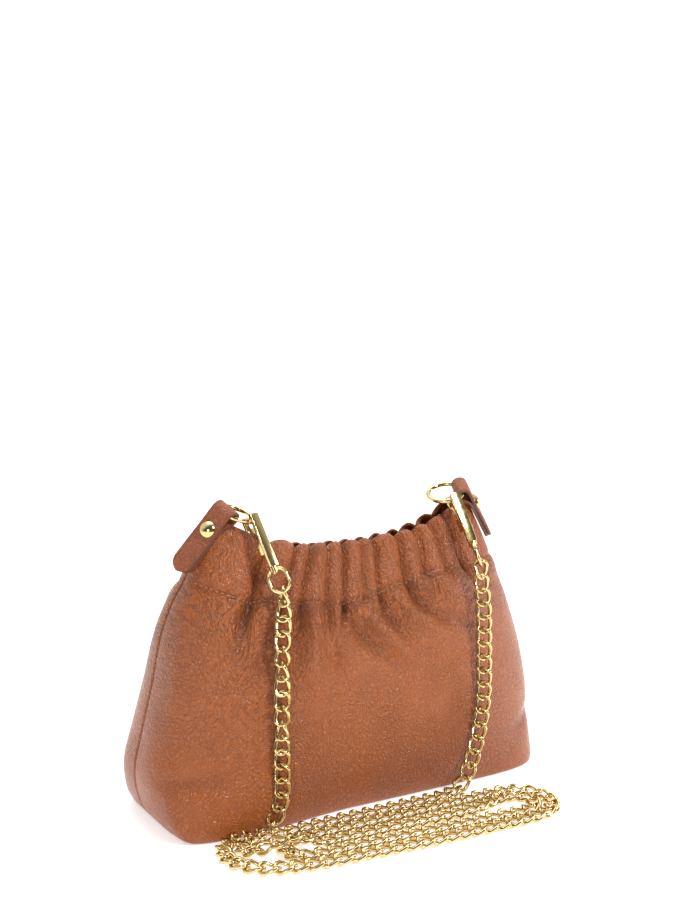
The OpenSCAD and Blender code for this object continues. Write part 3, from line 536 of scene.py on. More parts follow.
def pebbled_leather(name, lit, deep, rough):
    """Full-grain cowhide, drum dyed and lightly finished: satin, with a pebble of small domes and
    with creases that run along its folds, both with painted shade in their hollows."""
    material = bpy.data.materials.new(name)
    material.use_nodes = True
    tree = material.node_tree
    tree.nodes.clear()
    place = node(tree, "ShaderNodeTexCoord")
    cut = node(tree, "ShaderNodeUVMap", uv_map="cut_mm")
    stand = node(tree, "ShaderNodeAttribute", attribute_name="stand_out")
    crinkled = node(tree, "ShaderNodeAttribute", attribute_name="crinkle_share")
    folds = node(tree, "ShaderNodeAttribute", attribute_name="fold_shade_and_edge_dye")
    # pebble: domes 2.5 mm and 1.4 mm across between fine channels, drawn coarse so that they show
    drift = node(tree, "ShaderNodeTexNoise", [("Vector", place.outputs["Object"])], in_Scale=110.0,
                 in_Detail=2.0)
    push = node(tree, "ShaderNodeMixRGB",
                [("Color1", place.outputs["Object"]), ("Color2", drift.outputs["Color"])],
                blend_type="LINEAR_LIGHT", in_Fac=0.002)
    large = node(tree, "ShaderNodeTexVoronoi", [("Vector", push.outputs["Color"])],
                 feature="DISTANCE_TO_EDGE", in_Scale=1 / 0.0025)
    small = node(tree, "ShaderNodeTexVoronoi", [("Vector", push.outputs["Color"])],
                 feature="DISTANCE_TO_EDGE", in_Scale=1 / 0.0014)
    dome = node(tree, "ShaderNodeMapRange", [("Value", large.outputs["Distance"])],
                interpolation_type="SMOOTHSTEP",
                in_1=0.0, in_2=0.38, in_3=0.0, in_4=1.0)
    dome_small = node(tree, "ShaderNodeMapRange", [("Value", small.outputs["Distance"])],
                      interpolation_type="SMOOTHSTEP", in_1=0.0, in_2=0.32, in_3=0.0, in_4=1.0)
    patch = node(tree, "ShaderNodeTexNoise", [("Vector", place.outputs["Object"])], in_Scale=30.0,
                 in_Detail=2.0)
    patches = node(tree, "ShaderNodeMapRange", [("Value", patch.outputs["Fac"])], in_1=0.35, in_2=0.65,
                   in_3=0.45, in_4=1.0)
    pebble = node(tree, "ShaderNodeMixRGB", [("Color1", dome.outputs[0]), ("Color2", dome_small.outputs[0])],
                  in_Fac=0.4)
    pebble_h = node(tree, "ShaderNodeMath", [(0, pebble.outputs["Color"]), (1, patches.outputs[0])],
                    operation="MULTIPLY")
    # creases: their third coordinate is how far the leather stands out, so they follow the folds
    spread = node(tree, "ShaderNodeVectorMath", [(0, cut.outputs["UV"])], operation="MULTIPLY")
    spread.inputs[1].default_value = (1 / 0.010, 1 / 0.010, 0)
    rise = node(tree, "ShaderNodeCombineXYZ", [("Z", stand.outputs["Fac"])])
    flow = node(tree, "ShaderNodeVectorMath", [(0, spread.outputs[0]), (1, rise.outputs[0])], operation="ADD")
    crease = node(tree, "ShaderNodeTexNoise", [("Vector", flow.outputs[0])], in_Scale=1.3, in_Detail=2.0,
                  in_Roughness=0.5,
                  in_Distortion=0.25)
    crossing = node(tree, "ShaderNodeMath", [(0, crease.outputs["Fac"])], operation="SUBTRACT", in_1=0.5)
    distance = node(tree, "ShaderNodeMath", [(0, crossing.outputs[0])], operation="ABSOLUTE")
    crease_h = node(tree, "ShaderNodeMapRange", [("Value", distance.outputs[0])],
                    interpolation_type="SMOOTHSTEP",
                    in_1=0.0, in_2=0.11, in_3=0.0, in_4=1.0)
    crease_in = node(tree, "ShaderNodeMath", [(0, crease_h.outputs[0]), (1, crinkled.outputs["Fac"])],
                     operation="MULTIPLY")
    # colour: uneven dye, with painted shade in the pebble's channels, along the creases and in the folds, and
    # on a strap a darker face towards its dyed edges
    tint = node(tree, "ShaderNodeTexNoise", [("Vector", place.outputs["Object"])], in_Scale=16.0,
                in_Detail=4.0)
    base = node(tree, "ShaderNodeMixRGB", [("Fac", tint.outputs["Fac"])], in_Color1=linear(lit[0]),
                in_Color2=linear(lit[1]))
    # painted shade: the channels between the pebble's domes are mixed towards the shade colour
    channels = node(tree, "ShaderNodeMapRange", [("Value", pebble.outputs["Color"])], in_1=0.0, in_2=0.6,
                    in_3=0.36, in_4=0.0)
    with_channel_shade = node(tree, "ShaderNodeMixRGB",
                   [("Fac", channels.outputs[0]), ("Color1", base.outputs["Color"])],
                   in_Color2=linear(deep))
    # painted shade: the colour darkens along the crease lines, where they sink
    crease_shade_ramp = node(tree, "ShaderNodeMapRange", [("Value", crease_h.outputs[0])], in_1=0.0, in_2=0.6, in_3=0.5,
                  in_4=0.0)
    hollows = node(tree, "ShaderNodeMath", [(0, crease_shade_ramp.outputs[0]), (1, crinkled.outputs["Fac"])],
                   operation="MULTIPLY")
    with_crease_shade = node(tree, "ShaderNodeMixRGB",
                   [("Fac", hollows.outputs[0]), ("Color1", with_channel_shade.outputs["Color"])],
                   in_Color2=linear(deep))
    # painted shade in the folds, read from the panel's attribute; on a strap the same attribute darkens the
    # face towards its dyed edges
    shade_and_edge_dye_mix = node(tree, "ShaderNodeMixRGB",
                   [("Fac", folds.outputs["Fac"]), ("Color1", with_crease_shade.outputs["Color"])],
                   in_Color2=linear(deep))
    fine = node(tree, "ShaderNodeTexNoise", [("Vector", place.outputs["Object"])], in_Scale=2600.0,
                in_Detail=2.0)
    gloss = node(tree, "ShaderNodeMapRange", [("Value", fine.outputs["Fac"])], in_1=0.3, in_2=0.7,
                 in_3=rough - 0.05, in_4=rough + 0.07)
    bump_crease = node(tree, "ShaderNodeBump", [("Height", crease_in.outputs[0])], in_Strength=1.0,
                       in_Distance=0.0006)
    bump = node(tree, "ShaderNodeBump",
                [("Height", pebble_h.outputs[0]), ("Normal", bump_crease.outputs["Normal"])],
                in_Strength=1.0, in_Distance=0.0007)
    bump_fine = node(tree, "ShaderNodeBump",
                     [("Height", fine.outputs["Fac"]), ("Normal", bump.outputs["Normal"])],
                     in_Strength=0.10, in_Distance=0.0001)
    shader = node(tree, "ShaderNodeBsdfPrincipled",
                  [("Base Color", shade_and_edge_dye_mix.outputs["Color"]), ("Roughness", gloss.outputs[0]),
                   ("Normal", bump_fine.outputs["Normal"])], in_IOR=1.45)
    node(tree, "ShaderNodeOutputMaterial", [("Surface", shader.outputs["BSDF"])])
    return material


# its third colour is the painted shade in the grain's channels, creases and folds
panel_leather = pebbled_leather("pebbled_cowhide_cognac", ("#a85a25", "#8f4819"), "#481d08", 0.26)

base_shares = (1.0, 0.75, 0.5, 0.25, 0.12)
edge_turns = np.radians([0, 30, 60, 90])
low_rows, high_rows, fold_rows, facing_rows = 72, 22, 8, 10
columns, facing_drop = 312, 1.5
across = np.sin(np.linspace(-1, 1, columns) * np.pi / 2)


def panel_rows(side):
    """Heights and insets of the panel's rows, column by column."""
    stitch = stitch_height(across, side)
    heights, insets = [], []
    b = bag_d * level_value(depth_shares, np.array(0.0))
    for share in base_shares:
        heights.append(np.zeros_like(across))
        insets.append(np.zeros_like(across) + edge_r + (b - edge_r) * share)
    for a in edge_turns:
        heights.append(np.zeros_like(across) + edge_r * (1 - math.cos(a)))
        insets.append(np.zeros_like(across) + edge_r * (1 - math.sin(a)))
    for k in range(1, low_rows + 1):
        heights.append(edge_r + (stitch - edge_r) * k / low_rows)
        insets.append(np.zeros_like(across))
    for k in range(1, high_rows + 1):
        heights.append(stitch + (fold_h - stitch) * k / high_rows)
        insets.append(np.zeros_like(across))
    for k in range(1, fold_rows + 1):
        a = math.pi * k / fold_rows
        heights.append(np.zeros_like(across) + fold_h + fold_t / 2 * math.sin(a))
        insets.append(np.zeros_like(across) + fold_t / 2 * (1 - math.cos(a)))
    for k in range(1, facing_rows + 1):
        heights.append(fold_h + (stitch - facing_drop - fold_h) * k / facing_rows)
        insets.append(np.zeros_like(across) + fold_t)
    return np.array(heights), np.array(insets)


# creases hang like drapery round these places below the stitching: place across, half width, depth
front_arcs = [(-0.80, 30, 62), (-0.46, 12, 34), (-0.30, 10, 26), (-0.04, 15, 30), (0.19, 15, 32),
              (0.52, 26, 30), (0.88, 18, 40)]
back_arcs = [(-0.80, 26, 50), (-0.50, 16, 34), (-0.22, 18, 34), (0.06, 18, 34), (0.33, 18, 34),
             (0.60, 18, 34), (0.86, 22, 46)]


arc_half, arc_start, arc_far, arc_steps = bag_l * 0.42, 4, 9.0, 30


def arc_distance(c, h, side):
    """How far a place is from the nearest drape's top: 0 at its top, arc_steps at its rim."""
    s = h / hem_h
    x = c * np.where(c < 0, bag_l * level_value(left_shares, s), bag_l * level_value(right_shares, s))
    drop = stitch_height(c, side) + arc_start - h
    nearest = np.full_like(x, arc_far)
    for place, wide, deep in front_arcs if side < 0 else back_arcs:
        centre = place * arc_half
        nearest = np.minimum(nearest, np.hypot((x - centre) / wide, np.maximum(drop, 0) / deep))
    return arc_steps * nearest


def leather_panel(name, side):
    """One outer panel with its base, its wall, its folded hem and the hem's inner layer."""
    heights, insets = panel_rows(side)
    points = sheet_of(across[None, :], heights, insets, side)
    edged = np.concatenate([[-1] * 4, across, [1] * 4])
    rows_h = np.concatenate([heights[:, :1]] * 4 + [heights] + [heights[:, -1:]] * 4, axis=1)
    out = relief(np.broadcast_to(edged[None, :], rows_h.shape), rows_h, side)
    # painted shade: the colour darkens where the leather sinks into a fold or crease
    dark = np.clip((-out - 0.6) / 4.5, 0, 0.6)
    stitch = stitch_height(edged, side)[None, :]
    below = np.maximum(stitch - rows_h, 0)
    crinkle = 0.05 + 0.75 * np.exp(-((below / 30) ** 2)) - 0.35 * smooth_step((rows_h - stitch) / 3)
    crinkle = crinkle + 0.45 * np.exp(-(((edged[None, :] + 0.62) / 0.36) ** 2) - ((rows_h - 70) / 30) ** 2)
    crinkle = np.clip(crinkle, 0, 0.9)
    arcs = arc_distance(np.broadcast_to(edged[None, :], rows_h.shape), rows_h, side)
    uv = np.stack([np.broadcast_to(edged[None, :] * half_l, rows_h.shape), rows_h], -1)
    shares = {"fold_shade_and_edge_dye": dark, "stand_out": out * 0.9 + arcs / 4.2, "crinkle_share": crinkle}
    piece = grid_mesh(name, points, side, uv, shares)
    with_modifier(piece, "SOLIDIFY", thickness=leather_t * mm, offset=-1, use_even_offset=False)
    piece.data.materials.append(panel_leather)
    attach(piece, "bag")
    return piece


front_panel = leather_panel("leather_front", -1)
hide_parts("front_panel")
back_panel = leather_panel("leather_back", 1)
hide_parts("back_panel")


# Lining: two sheets of plain cotton twill, cut to the panels and sewn to the folded hem, hanging
# inside the leather and lying on the base board.
def woven(name, colours, thread, rough, ribs=1.0):
    """Cloth of crossed threads that follow the sheet's own map, thread metres apart."""
    material = bpy.data.materials.new(name)
    material.use_nodes = True
    tree = material.node_tree
    tree.nodes.clear()
    cut = node(tree, "ShaderNodeUVMap", uv_map="cut_mm")
    warp = node(tree, "ShaderNodeTexWave", [("Vector", cut.outputs["UV"])], bands_direction="X",
                in_Scale=0.314 / thread,
                in_Distortion=1.2, in_Detail=1.0)
    weft = node(tree, "ShaderNodeTexWave", [("Vector", cut.outputs["UV"])], bands_direction="Y",
                in_Scale=0.314 / thread * ribs, in_Distortion=1.2, in_Detail=1.0)
    weave = node(tree, "ShaderNodeMath", [(0, warp.outputs["Fac"]), (1, weft.outputs["Fac"])],
                 operation="MULTIPLY")
    slub = node(tree, "ShaderNodeTexNoise", [("Vector", cut.outputs["UV"])], in_Scale=160.0, in_Detail=3.0)
    tone = node(tree, "ShaderNodeMixRGB", [("Fac", slub.outputs["Fac"])], in_Color1=linear(colours[0]),
                in_Color2=linear(colours[1]))
    shade = node(tree, "ShaderNodeMixRGB", [("Fac", weave.outputs[0]), ("Color2", tone.outputs["Color"])],
                 in_Color1=linear(colours[2]))
    bump = node(tree, "ShaderNodeBump", [("Height", weave.outputs[0])], in_Strength=0.6, in_Distance=0.0002)
    shader = node(tree, "ShaderNodeBsdfPrincipled",
                  [("Base Color", shade.outputs["Color"]),
                   ("Normal", bump.outputs["Normal"])], in_Roughness=rough)
    shader.inputs["Sheen Weight"].default_value = 0.15
    node(tree, "ShaderNodeOutputMaterial", [("Surface", shader.outputs["BSDF"])])
    return material


# cotton twill, piece dyed a warm taupe: matt, its threads drawn at 0.7 mm so that they show
lining_twill = woven("cotton_twill_taupe", ("#8d7561", "#7c6553", "#5a483a"), 0.0007, 0.85)
lining_across = np.sin(np.linspace(-1, 1, 160) * np.pi / 2)
lining_low, lining_in, lining_r, lining_gap, lining_t = 3.5, 1.9, 4, 2.5, 0.6
lining_rows = 40


def lining_sheet(name, side):
    """One lining sheet, from the middle of the base up to the hem."""
    stitch = stitch_height(lining_across, side)
    heights, insets = [], []
    b = bag_d * level_value(depth_shares, np.array(lining_low / hem_h))
    flat_in, wall_low = lining_in + lining_r, lining_low + lining_r
    for share in (1.0, 0.7, 0.4, 0.15):
        heights.append(np.zeros_like(lining_across) + lining_low)
        insets.append(np.zeros_like(lining_across) + flat_in + (b - flat_in) * share)
    for a in edge_turns:
        heights.append(np.zeros_like(lining_across) + lining_low + lining_r * (1 - math.cos(a)))
        insets.append(np.zeros_like(lining_across) + lining_in + lining_r * (1 - math.sin(a)))
    for k in range(1, lining_rows + 1):
        heights.append(wall_low + (stitch - lining_gap - wall_low) * k / lining_rows)
        insets.append(np.zeros_like(lining_across) + lining_in)
    heights, insets = np.array(heights), np.array(insets)
    points = sheet_of(lining_across[None, :], heights, insets, side)
    wide = np.concatenate([[-1] * 4, lining_across, [1] * 4])
    tall = np.concatenate([heights[:, :1]] * 4 + [heights] + [heights[:, -1:]] * 4, axis=1)
    piece = grid_mesh(name, points, side,
                      np.stack([np.broadcast_to(wide[None, :] * half_l, tall.shape), tall], -1))
    with_modifier(piece, "SOLIDIFY", thickness=lining_t * mm, offset=-1)
    piece.data.materials.append(lining_twill)
    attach(piece, "bag")
    return piece


lining_front = lining_sheet("lining_cloth_front", -1)
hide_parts("lining_front")
lining_back = lining_sheet("lining_cloth_back", 1)
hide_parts("lining_back")


# Elastic: a ribbed band in the tunnel of each folded hem, sewn at its ends, that gathers the mouth.
# Knitted rubber and polyester, cream, as wide as its tunnel leaves it, 15 to 27 mm.
elastic_rib = woven("ribbed_elastic_cream", ("#e4dccb", "#d8cfbb", "#b3a98f"), 0.0011, 0.8, 2.2)
# from seam to seam it reaches this share of the way; its gap over the stitches, its top, its
# depth inside the leather and its thickness are in mm
elastic_reach = 0.74
elastic_across = np.sin(np.linspace(-1, 1, 200) * np.pi / 2 * elastic_reach)
elastic_gap, elastic_top, elastic_in, elastic_t, elastic_rows = 1.8, 139.5, 1.95, 0.7, 8


def elastic_band(name, side):
    """One band of elastic, inside its panel's hem."""
    stitch = stitch_height(elastic_across, side)
    tall = elastic_top - stitch - elastic_gap
    heights = np.array([stitch + elastic_gap + tall * k / elastic_rows for k in range(elastic_rows + 1)])
    points = leather_point(elastic_across[None, :], heights, elastic_in, side)
    wide = np.broadcast_to(elastic_across[None, :] * half_l, heights.shape)
    piece = grid_mesh(name, points, side, np.stack([wide, heights], -1))
    with_modifier(piece, "SOLIDIFY", thickness=elastic_t * mm, offset=-1)
    piece.data.materials.append(elastic_rib)
    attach(piece, "bag")
    return piece


band_front = elastic_band("elastic_band_front", -1)
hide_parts("elastic_front")
band_back = elastic_band("elastic_band_back", 1)
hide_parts("elastic_back")


# Base board: pressed grey board with cut corners, laid loose between the leather and the lining.
# The part's own shape is shown.
def finish_node(name, material):
    """Gives a node of the part its material."""
    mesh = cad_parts[name].data
    mesh.materials.clear()
    mesh.materials.append(material)


def speckled(name, colours, grit, rough):
    """A pressed or cast material with a fine fleck, grit metres across."""
    material = bpy.data.materials.new(name)
    material.use_nodes = True
    tree = material.node_tree
    tree.nodes.clear()
    place = node(tree, "ShaderNodeTexCoord")
    fleck = node(tree, "ShaderNodeTexNoise", [("Vector", place.outputs["Object"])], in_Scale=1 / grit,
                 in_Detail=4.0)
    tone = node(tree, "ShaderNodeMixRGB", [("Fac", fleck.outputs["Fac"])], in_Color1=linear(colours[0]),
                in_Color2=linear(colours[1]))
    bump = node(tree, "ShaderNodeBump", [("Height", fleck.outputs["Fac"])], in_Strength=0.3,
                in_Distance=0.0001)
    shader = node(tree, "ShaderNodeBsdfPrincipled",
                  [("Base Color", tone.outputs["Color"]),
                   ("Normal", bump.outputs["Normal"])], in_Roughness=rough)
    node(tree, "ShaderNodeOutputMaterial", [("Surface", shader.outputs["BSDF"])])
    return material


finish_node("base_board", speckled("pressed_grey_board", ("#8b8378", "#a39a8c"), 0.0012, 0.9))


# Magnetic snap: a stud and a socket disc of stamped steel, nickel plated, fixed to the linings.
# Nickel looks a little warmer and softer than chrome. The part's own shapes are shown.
nickel = plated("nickel_plated_steel", ("#c9c5bd", "#b8b3aa"), 0.22, 0.4)
finish_node("snap_stud", nickel)
finish_node("snap_socket", nickel)


# Tabs: at each end of the mouth a 13 mm strip of the same leather is folded over a ring and riveted
# through both legs and the hem. Its cut edges are painted dark.
# its third colour is the painted shade in the grain's channels and creases, and the dye at the face's edges
tab_leather = pebbled_leather("cowhide_strap_cognac", ("#9d5630", "#8a4827"), "#4a210f", 0.44)
edge_paint = speckled("painted_leather_edge", ("#57301f", "#6a3d28"), 0.0008, 0.5)
tab_low, tab_half, tab_t = -39.3, 6.5, 1.7
# the roll's radius, the inner leg's place and top, and how far the outer leg's dome reaches
tab_roll_r, inner_leg_y, inner_leg_top, dome_l = 3.85, 1.85, -9.5, 40
roll_place = Matrix.Translation(roll_at) @ tab_turn.to_4x4()


def leather_tab(name, mirror):
    """One strip along its folded path: outer leg, roll, inner leg."""
    path = []
    for z in np.linspace(tab_low, 0, 34):
        path.append((tab_roll_r, z))
    for a in np.radians(np.linspace(12, 240, 20)):
        path.append((tab_roll_r * math.cos(a), tab_roll_r * math.sin(a)))
    # from the roll to the inner leg
    joint = np.array(path[-1])
    for t in np.arange(1, 7) / 6:
        path.append(tuple(
            joint * (2 * t**3 - 3 * t**2 + 1) + np.array((0.866, -0.5)) * 5.5 * (t**3 - 2 * t**2 + t)
            + np.array((inner_leg_y, -8.6)) * (3 * t**2 - 2 * t**3) + np.array((0, -1)) * 5.5 * (t**3 - t**2)
        ))
    for z in np.linspace(inner_leg_top, tab_low, 28):
        path.append((inner_leg_y, z))
    path = np.array(path)
    run = np.concatenate([[0], np.cumsum(np.linalg.norm(np.diff(path, axis=0), axis=1))])
    slope = np.gradient(path, axis=0)
    slope /= np.linalg.norm(slope, axis=1)[:, None]
    out = np.stack([slope[:, 1], -slope[:, 0]], -1)
    share = np.linspace(-1, 1, 15)
    end = np.minimum(run, run[-1] - run)
    half = np.sqrt(np.maximum(tab_half**2 - np.maximum(tab_half - end, 0) ** 2, 0.15))
    x = half[:, None] * share[None, :]
    crown = 0.22 * (1 - share[None, :] ** 2) - 0.5 * np.exp(-((x**2 + (path[:, 1:2] + 12) ** 2) / 30))
    crown = crown * (run < dome_l)[:, None]
    y = path[:, :1] + out[:, :1] * crown
    z = path[:, 1:] + out[:, 1:] * crown
    local = np.stack([x, np.broadcast_to(y, x.shape), np.broadcast_to(z, x.shape)], -1)
    turn = np.array(roll_place.to_3x3())
    points = local @ turn.T + np.array(roll_at)
    if mirror:
        points[..., 0] *= -1
    uv = np.stack([x, np.broadcast_to(run[:, None], x.shape)], -1)
    # the strap's face darkens towards its edges, where the edge dye runs over
    shares = {
        "fold_shade_and_edge_dye": np.broadcast_to(0.25 * np.abs(share[None, :]) ** 4, x.shape),
        "crinkle_share": np.full(x.shape, 0.15),
    }
    piece = grid_mesh(name, points, 1 if mirror else -1, uv, shares)
    piece.data.materials.append(tab_leather)
    piece.data.materials.append(edge_paint)
    with_modifier(piece, "SOLIDIFY", thickness=tab_t * mm, offset=0, material_offset_rim=1)
    with_modifier(piece, "BEVEL", width=0.35 * mm, segments=2, limit_method="ANGLE",
                  angle_limit=math.radians(50))
    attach(piece, "bag")
    return piece


tab_left = leather_tab("tab_left", False)
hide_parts("left_tab")
tab_right = leather_tab("tab_right", True)
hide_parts("right_tab")


# Rivets, rings and swivel eyes: domed double-cap rivets, a welded ring of round wire at each end,
# and the eye that turns under each hook, all plated like the chain.
for hand in ("left", "right"):
    for part_name in ("rivet_cap", "rivet_post", "ring", "swivel_eye"):
        finish_node(f"{hand}_{part_name}", gold_plate)


# Snap hooks: each is one bar of cast metal bent over the ring, with a neck for the swivel and two
# cheeks that carry the gate's pin; the gate is a lever held shut by a leaf spring.
bar_w, bar_t, hook_low = 6, 1.8, -27.5
arch_r, arch_z, arch_from, nose_low = 3.7, 3.4, 3.3, -4.2
arch_taper, nose_share = 0.22, 0.76
gate_pin_at, gate_shut_deg = Vector((0, -0.9, -15)), -12.4


def block(size, at, taper=1.0):
    """A box whose lower end is narrowed by taper."""
    nothing_selected()
    bpy.ops.mesh.primitive_cube_add(size=1, location=Vector(at) * mm)
    made = bpy.context.object
    bpy.ops.object.mode_set(mode="EDIT")
    bpy.ops.transform.resize(value=tuple(v * mm for v in size))
    select_in(made, lambda v: v.co.z < 0)
    bpy.ops.transform.resize(value=(taper, taper, 1), center_override=Vector(at) * mm)
    bpy.ops.object.mode_set(mode="OBJECT")
    return made


def rod(radius, low, high, at):
    """An upright round pin from low to high, at (x, y)."""
    nothing_selected()
    middle = Vector((*at, (low + high) / 2)) * mm
    bpy.ops.mesh.primitive_cylinder_add(
        vertices=28, radius=radius * mm, depth=(high - low) * mm, location=middle
    )
    return bpy.context.object


def joined(name, shapes, place, round_off):
    """Joins the shapes into one piece, rounds its edges and puts it in its place."""
    nothing_selected()
    for shape in shapes:
        shape.select_set(True)
    bpy.context.view_layer.objects.active = shapes[0]
    bpy.ops.object.join()
    piece = bpy.context.object
    piece.name = name
    bpy.ops.object.transform_apply(location=True, rotation=True, scale=True)
    select_in(piece, lambda v: True)
    bpy.ops.mesh.remove_doubles(threshold=0.00001)
    bpy.ops.mesh.normals_make_consistent(inside=False)
    bpy.ops.object.mode_set(mode="OBJECT")
    with_modifier(piece, "BEVEL", width=round_off * mm, segments=3, limit_method="ANGLE",
                  angle_limit=math.radians(40))
    nothing_selected()
    piece.select_set(True)
    bpy.ops.object.shade_smooth_by_angle(angle=math.radians(35))
    piece.data.transform(place)
    piece.data.materials.append(gold_plate)
    return piece


def snap_hook(hand, place):
    """The hook's body and its gate, with the arch's middle at the place."""
    nothing_selected()
    bpy.ops.mesh.primitive_plane_add(size=1, location=Vector((0, -arch_r, hook_low)) * mm)
    strap = bpy.context.object
    bpy.ops.object.mode_set(mode="EDIT")
    bpy.ops.mesh.select_all(action="SELECT")
    bpy.ops.transform.resize(value=(bar_w * mm, bar_t * mm, 1))
    for rise in (23.3, 7.6):
        bpy.ops.mesh.extrude_region_move(TRANSFORM_OT_translate={"value": (0, 0, rise * mm)})
    bpy.ops.mesh.spin(steps=16, angle=-math.pi, center=Vector((0, 0, arch_z)) * mm, axis=(1, 0, 0))
    bpy.ops.mesh.extrude_region_move(TRANSFORM_OT_translate={"value": (0, 0, -6.7 * mm)})
    bpy.ops.mesh.extrude_region_move(TRANSFORM_OT_translate={"value": (0, 0, -0.9 * mm)})
    bpy.ops.transform.resize(value=(0.92, 0.45, 1), center_override=Vector((0, arch_r, nose_low)) * mm)
    bpy.ops.object.mode_set(mode="OBJECT")
    # the bar narrows over its arch and down to the nose
    for vertex in strap.data.vertices:
        height, depth = vertex.co.z / mm + hook_low, vertex.co.y / mm - arch_r
        if height > arch_from:
            over = math.atan2(height - arch_z, -depth) / math.pi
            vertex.co.x *= 1 - arch_taper * min(max(over, 0), 1)
        elif depth > 0:
            vertex.co.x *= nose_share
    cheeks = [block((0.8, 4.8, 8), (s * 2.6, -1.3, -16), 0.9) for s in (-1, 1)]
    neck = block((4.6, 3.3, 6.5), (0, swivel_y, -24.25), 0.82)
    post, head = rod(1.2, -31, -24, (0, swivel_y)), rod(1.7, -31.6, -30.5, (0, swivel_y))
    body = joined(f"hook_bar_{hand}", [strap, *cheeks, neck, post, head], place, 0.32)
    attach(body, f"{hand}_hook")
    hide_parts(f"{hand}_hook_body")

    nothing_selected()
    bpy.ops.mesh.primitive_plane_add(size=1)
    lever = bpy.context.object
    bpy.ops.object.mode_set(mode="EDIT")
    bpy.ops.mesh.select_all(action="SELECT")
    bpy.ops.transform.resize(value=(4 * mm, 1.5 * mm, 1))
    bpy.ops.transform.translate(value=(0, 0, -2.5 * mm))
    for rise, wide, thick in ((1.2, 1, 1.3), (1.3, 1, 1.1), (3.5, 1, 0.8), (8.3, 0.96, 0.9)):
        bpy.ops.mesh.extrude_region_move(TRANSFORM_OT_translate={"value": (0, 0, rise * mm)})
        bpy.ops.transform.resize(value=(wide, thick, 1), center_override=(0, 0, 0))
    bpy.ops.object.mode_set(mode="OBJECT")
    shut = Matrix.Translation(gate_pin_at * mm) @ Matrix.Rotation(math.radians(gate_shut_deg), 4, "X")
    gate = joined(f"hook_gate_lever_{hand}", [lever], place @ shut, 0.3)
    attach(gate, f"{hand}_gate")
    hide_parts(f"{hand}_hook_gate")


snap_hook("left", Matrix.Translation(left_hook_at * mm) @ left_hook_turn.to_4x4())
snap_hook("right", Matrix.Translation(right_hook_at * mm) @ right_hook_turn.to_4x4())
for hand in ("left", "right"):
    finish_node(f"{hand}_gate_pin", nickel)
    finish_node(f"{hand}_gate_spring", nickel)


# Hem stitches: one row of waxed thread through both layers under the elastic, each stitch 2.3 mm
# long and pulled a little into the leather.
stitch_half, stitch_r, stitch_pitch, row_end = 1.15, 0.34, 3.1, 1.5
thread = speckled("waxed_polyester_thread_tan", ("#b98a63", "#a3744f"), 0.0004, 0.6)
nothing_selected()
bpy.ops.mesh.primitive_uv_sphere_add(segments=6, ring_count=4, radius=mm)
stitch_shape = bpy.context.object
bpy.ops.object.mode_set(mode="EDIT")
bpy.ops.mesh.select_all(action="SELECT")
bpy.ops.transform.resize(value=(stitch_half, stitch_r, stitch_r))
bpy.ops.object.mode_set(mode="OBJECT")
stitch_verts = np.array([v.co[:] for v in stitch_shape.data.vertices]) / mm
stitch_faces = [list(p.vertices) for p in stitch_shape.data.polygons]
bpy.data.objects.remove(stitch_shape)


def stitch_row(name, side):
    """One row of stitches along a panel's stitch line."""
    c = np.linspace(-0.985, 0.985, 4000)
    line = leather_point(c, stitch_height(c, side), 0.0, side)
    run = np.concatenate([[0], np.cumsum(np.linalg.norm(np.diff(line, axis=0), axis=1))])
    verts, faces = [], []
    for s in np.arange(row_end, run[-1] - row_end, stitch_pitch):
        stitch_ends = (s - stitch_half, s + stitch_half)
        a, b = [np.array([np.interp(v, run, line[:, k]) for k in range(3)]) for v in stitch_ends]
        forward = (b - a) / np.linalg.norm(b - a)
        outward = np.cross(forward, (0, 0, 1)) * side
        outward = outward / np.linalg.norm(outward)
        up = np.cross(outward, forward)
        place = np.stack([forward, outward, up], -1)
        base = len(verts)
        verts.extend((stitch_verts @ place.T + (a + b) / 2 + outward * 0.1) * mm)
        faces.extend([[i + base for i in face] for face in stitch_faces])
    mesh = bpy.data.meshes.new(name)
    mesh.from_pydata([tuple(v) for v in verts], [], faces)
    mesh.polygons.foreach_set("use_smooth", [True] * len(mesh.polygons))
    piece = bpy.data.objects.new(name, mesh)
    scene.collection.objects.link(piece)
    mesh.materials.append(thread)
    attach(piece, "bag")


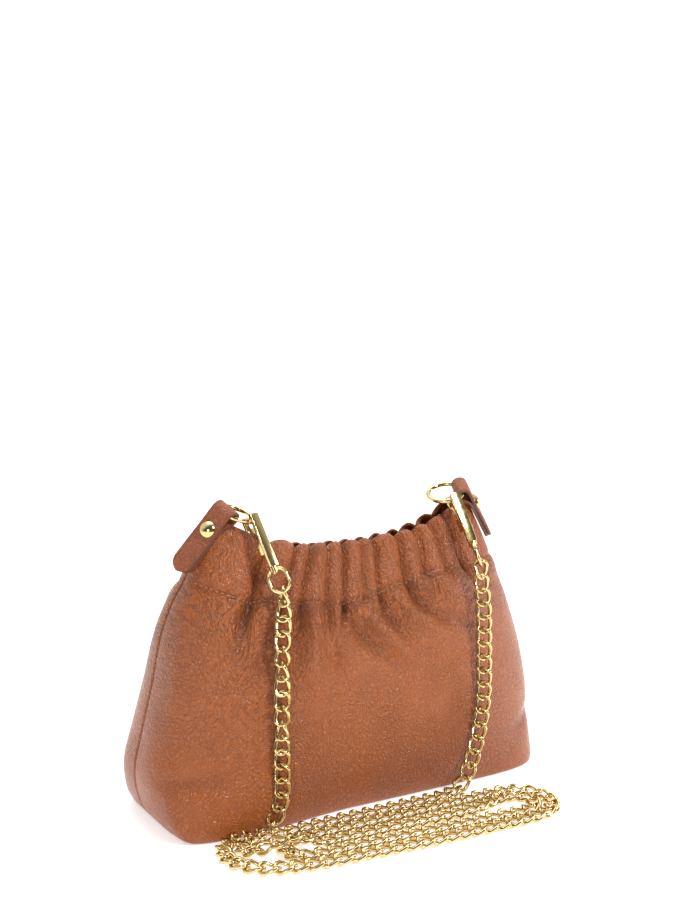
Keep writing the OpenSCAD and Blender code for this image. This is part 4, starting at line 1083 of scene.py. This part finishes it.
stitch_row("hem_stitches_front", -1)
stitch_row("hem_stitches_back", 1)


# Floor and light: a pale floor that runs out of view, a soft key light from the front right, fainter
# ones from the front left, the right and above, and a bright room all round.
bag_middle = Vector((0, 0, 0.06))
nothing_selected()
bpy.ops.mesh.primitive_plane_add(size=6, location=(0, 1.2, 0))
floor = bpy.context.object
floor.name = "floor"
floor_paint = bpy.data.materials.new("matt_white_floor")
floor_paint.use_nodes = True
paper = floor_paint.node_tree.nodes["Principled BSDF"]
paper.inputs["Base Color"].default_value = linear("#f7f7f6")
paper.inputs["Roughness"].default_value = 0.95
paper.inputs["Emission Color"].default_value = (1, 1, 1, 1)
paper.inputs["Emission Strength"].default_value = 0.5
floor.data.materials.append(floor_paint)


def soft_light(name, at, size, power):
    """A square lamp that looks at the bag's middle."""
    nothing_selected()
    bpy.ops.object.light_add(type="AREA", location=at)
    lamp = bpy.context.object
    lamp.name = name
    lamp.data.size = size
    lamp.data.energy = power
    lamp.rotation_euler = (bag_middle - Vector(at)).to_track_quat("-Z", "Y").to_euler()


soft_light("key_light", (0.5, -1.1, 1.15), 0.28, 18)
soft_light("fill_light", (-0.95, -0.95, 0.42), 0.4, 3.2)
soft_light("side_light", (1.4, -0.2, 0.4), 0.4, 4.5)
soft_light("top_light", (0.1, 0.35, 1.3), 0.9, 10)
# the room: white behind and above the bag, grey on the side that the photograph is taken from
world = bpy.data.worlds.new("white_room")
scene.world = world
world.use_nodes = True
room = world.node_tree
heading = node(room, "ShaderNodeTexCoord")
towards = node(room, "ShaderNodeVectorMath", [(0, heading.outputs["Generated"])], operation="DOT_PRODUCT")
towards.inputs[1].default_value = (0.1, 0.85, 0.5)
shade = node(room, "ShaderNodeMapRange", [("Value", towards.outputs["Value"])],
             interpolation_type="SMOOTHSTEP",
             in_1=-0.15, in_2=0.58, in_3=0.12, in_4=1.04)
room.links.new(shade.outputs[0], room.nodes["Background"].inputs["Strength"])
room.nodes["Background"].inputs["Color"].default_value = (1, 1, 1, 1)
scene.view_settings.view_transform = "Standard"
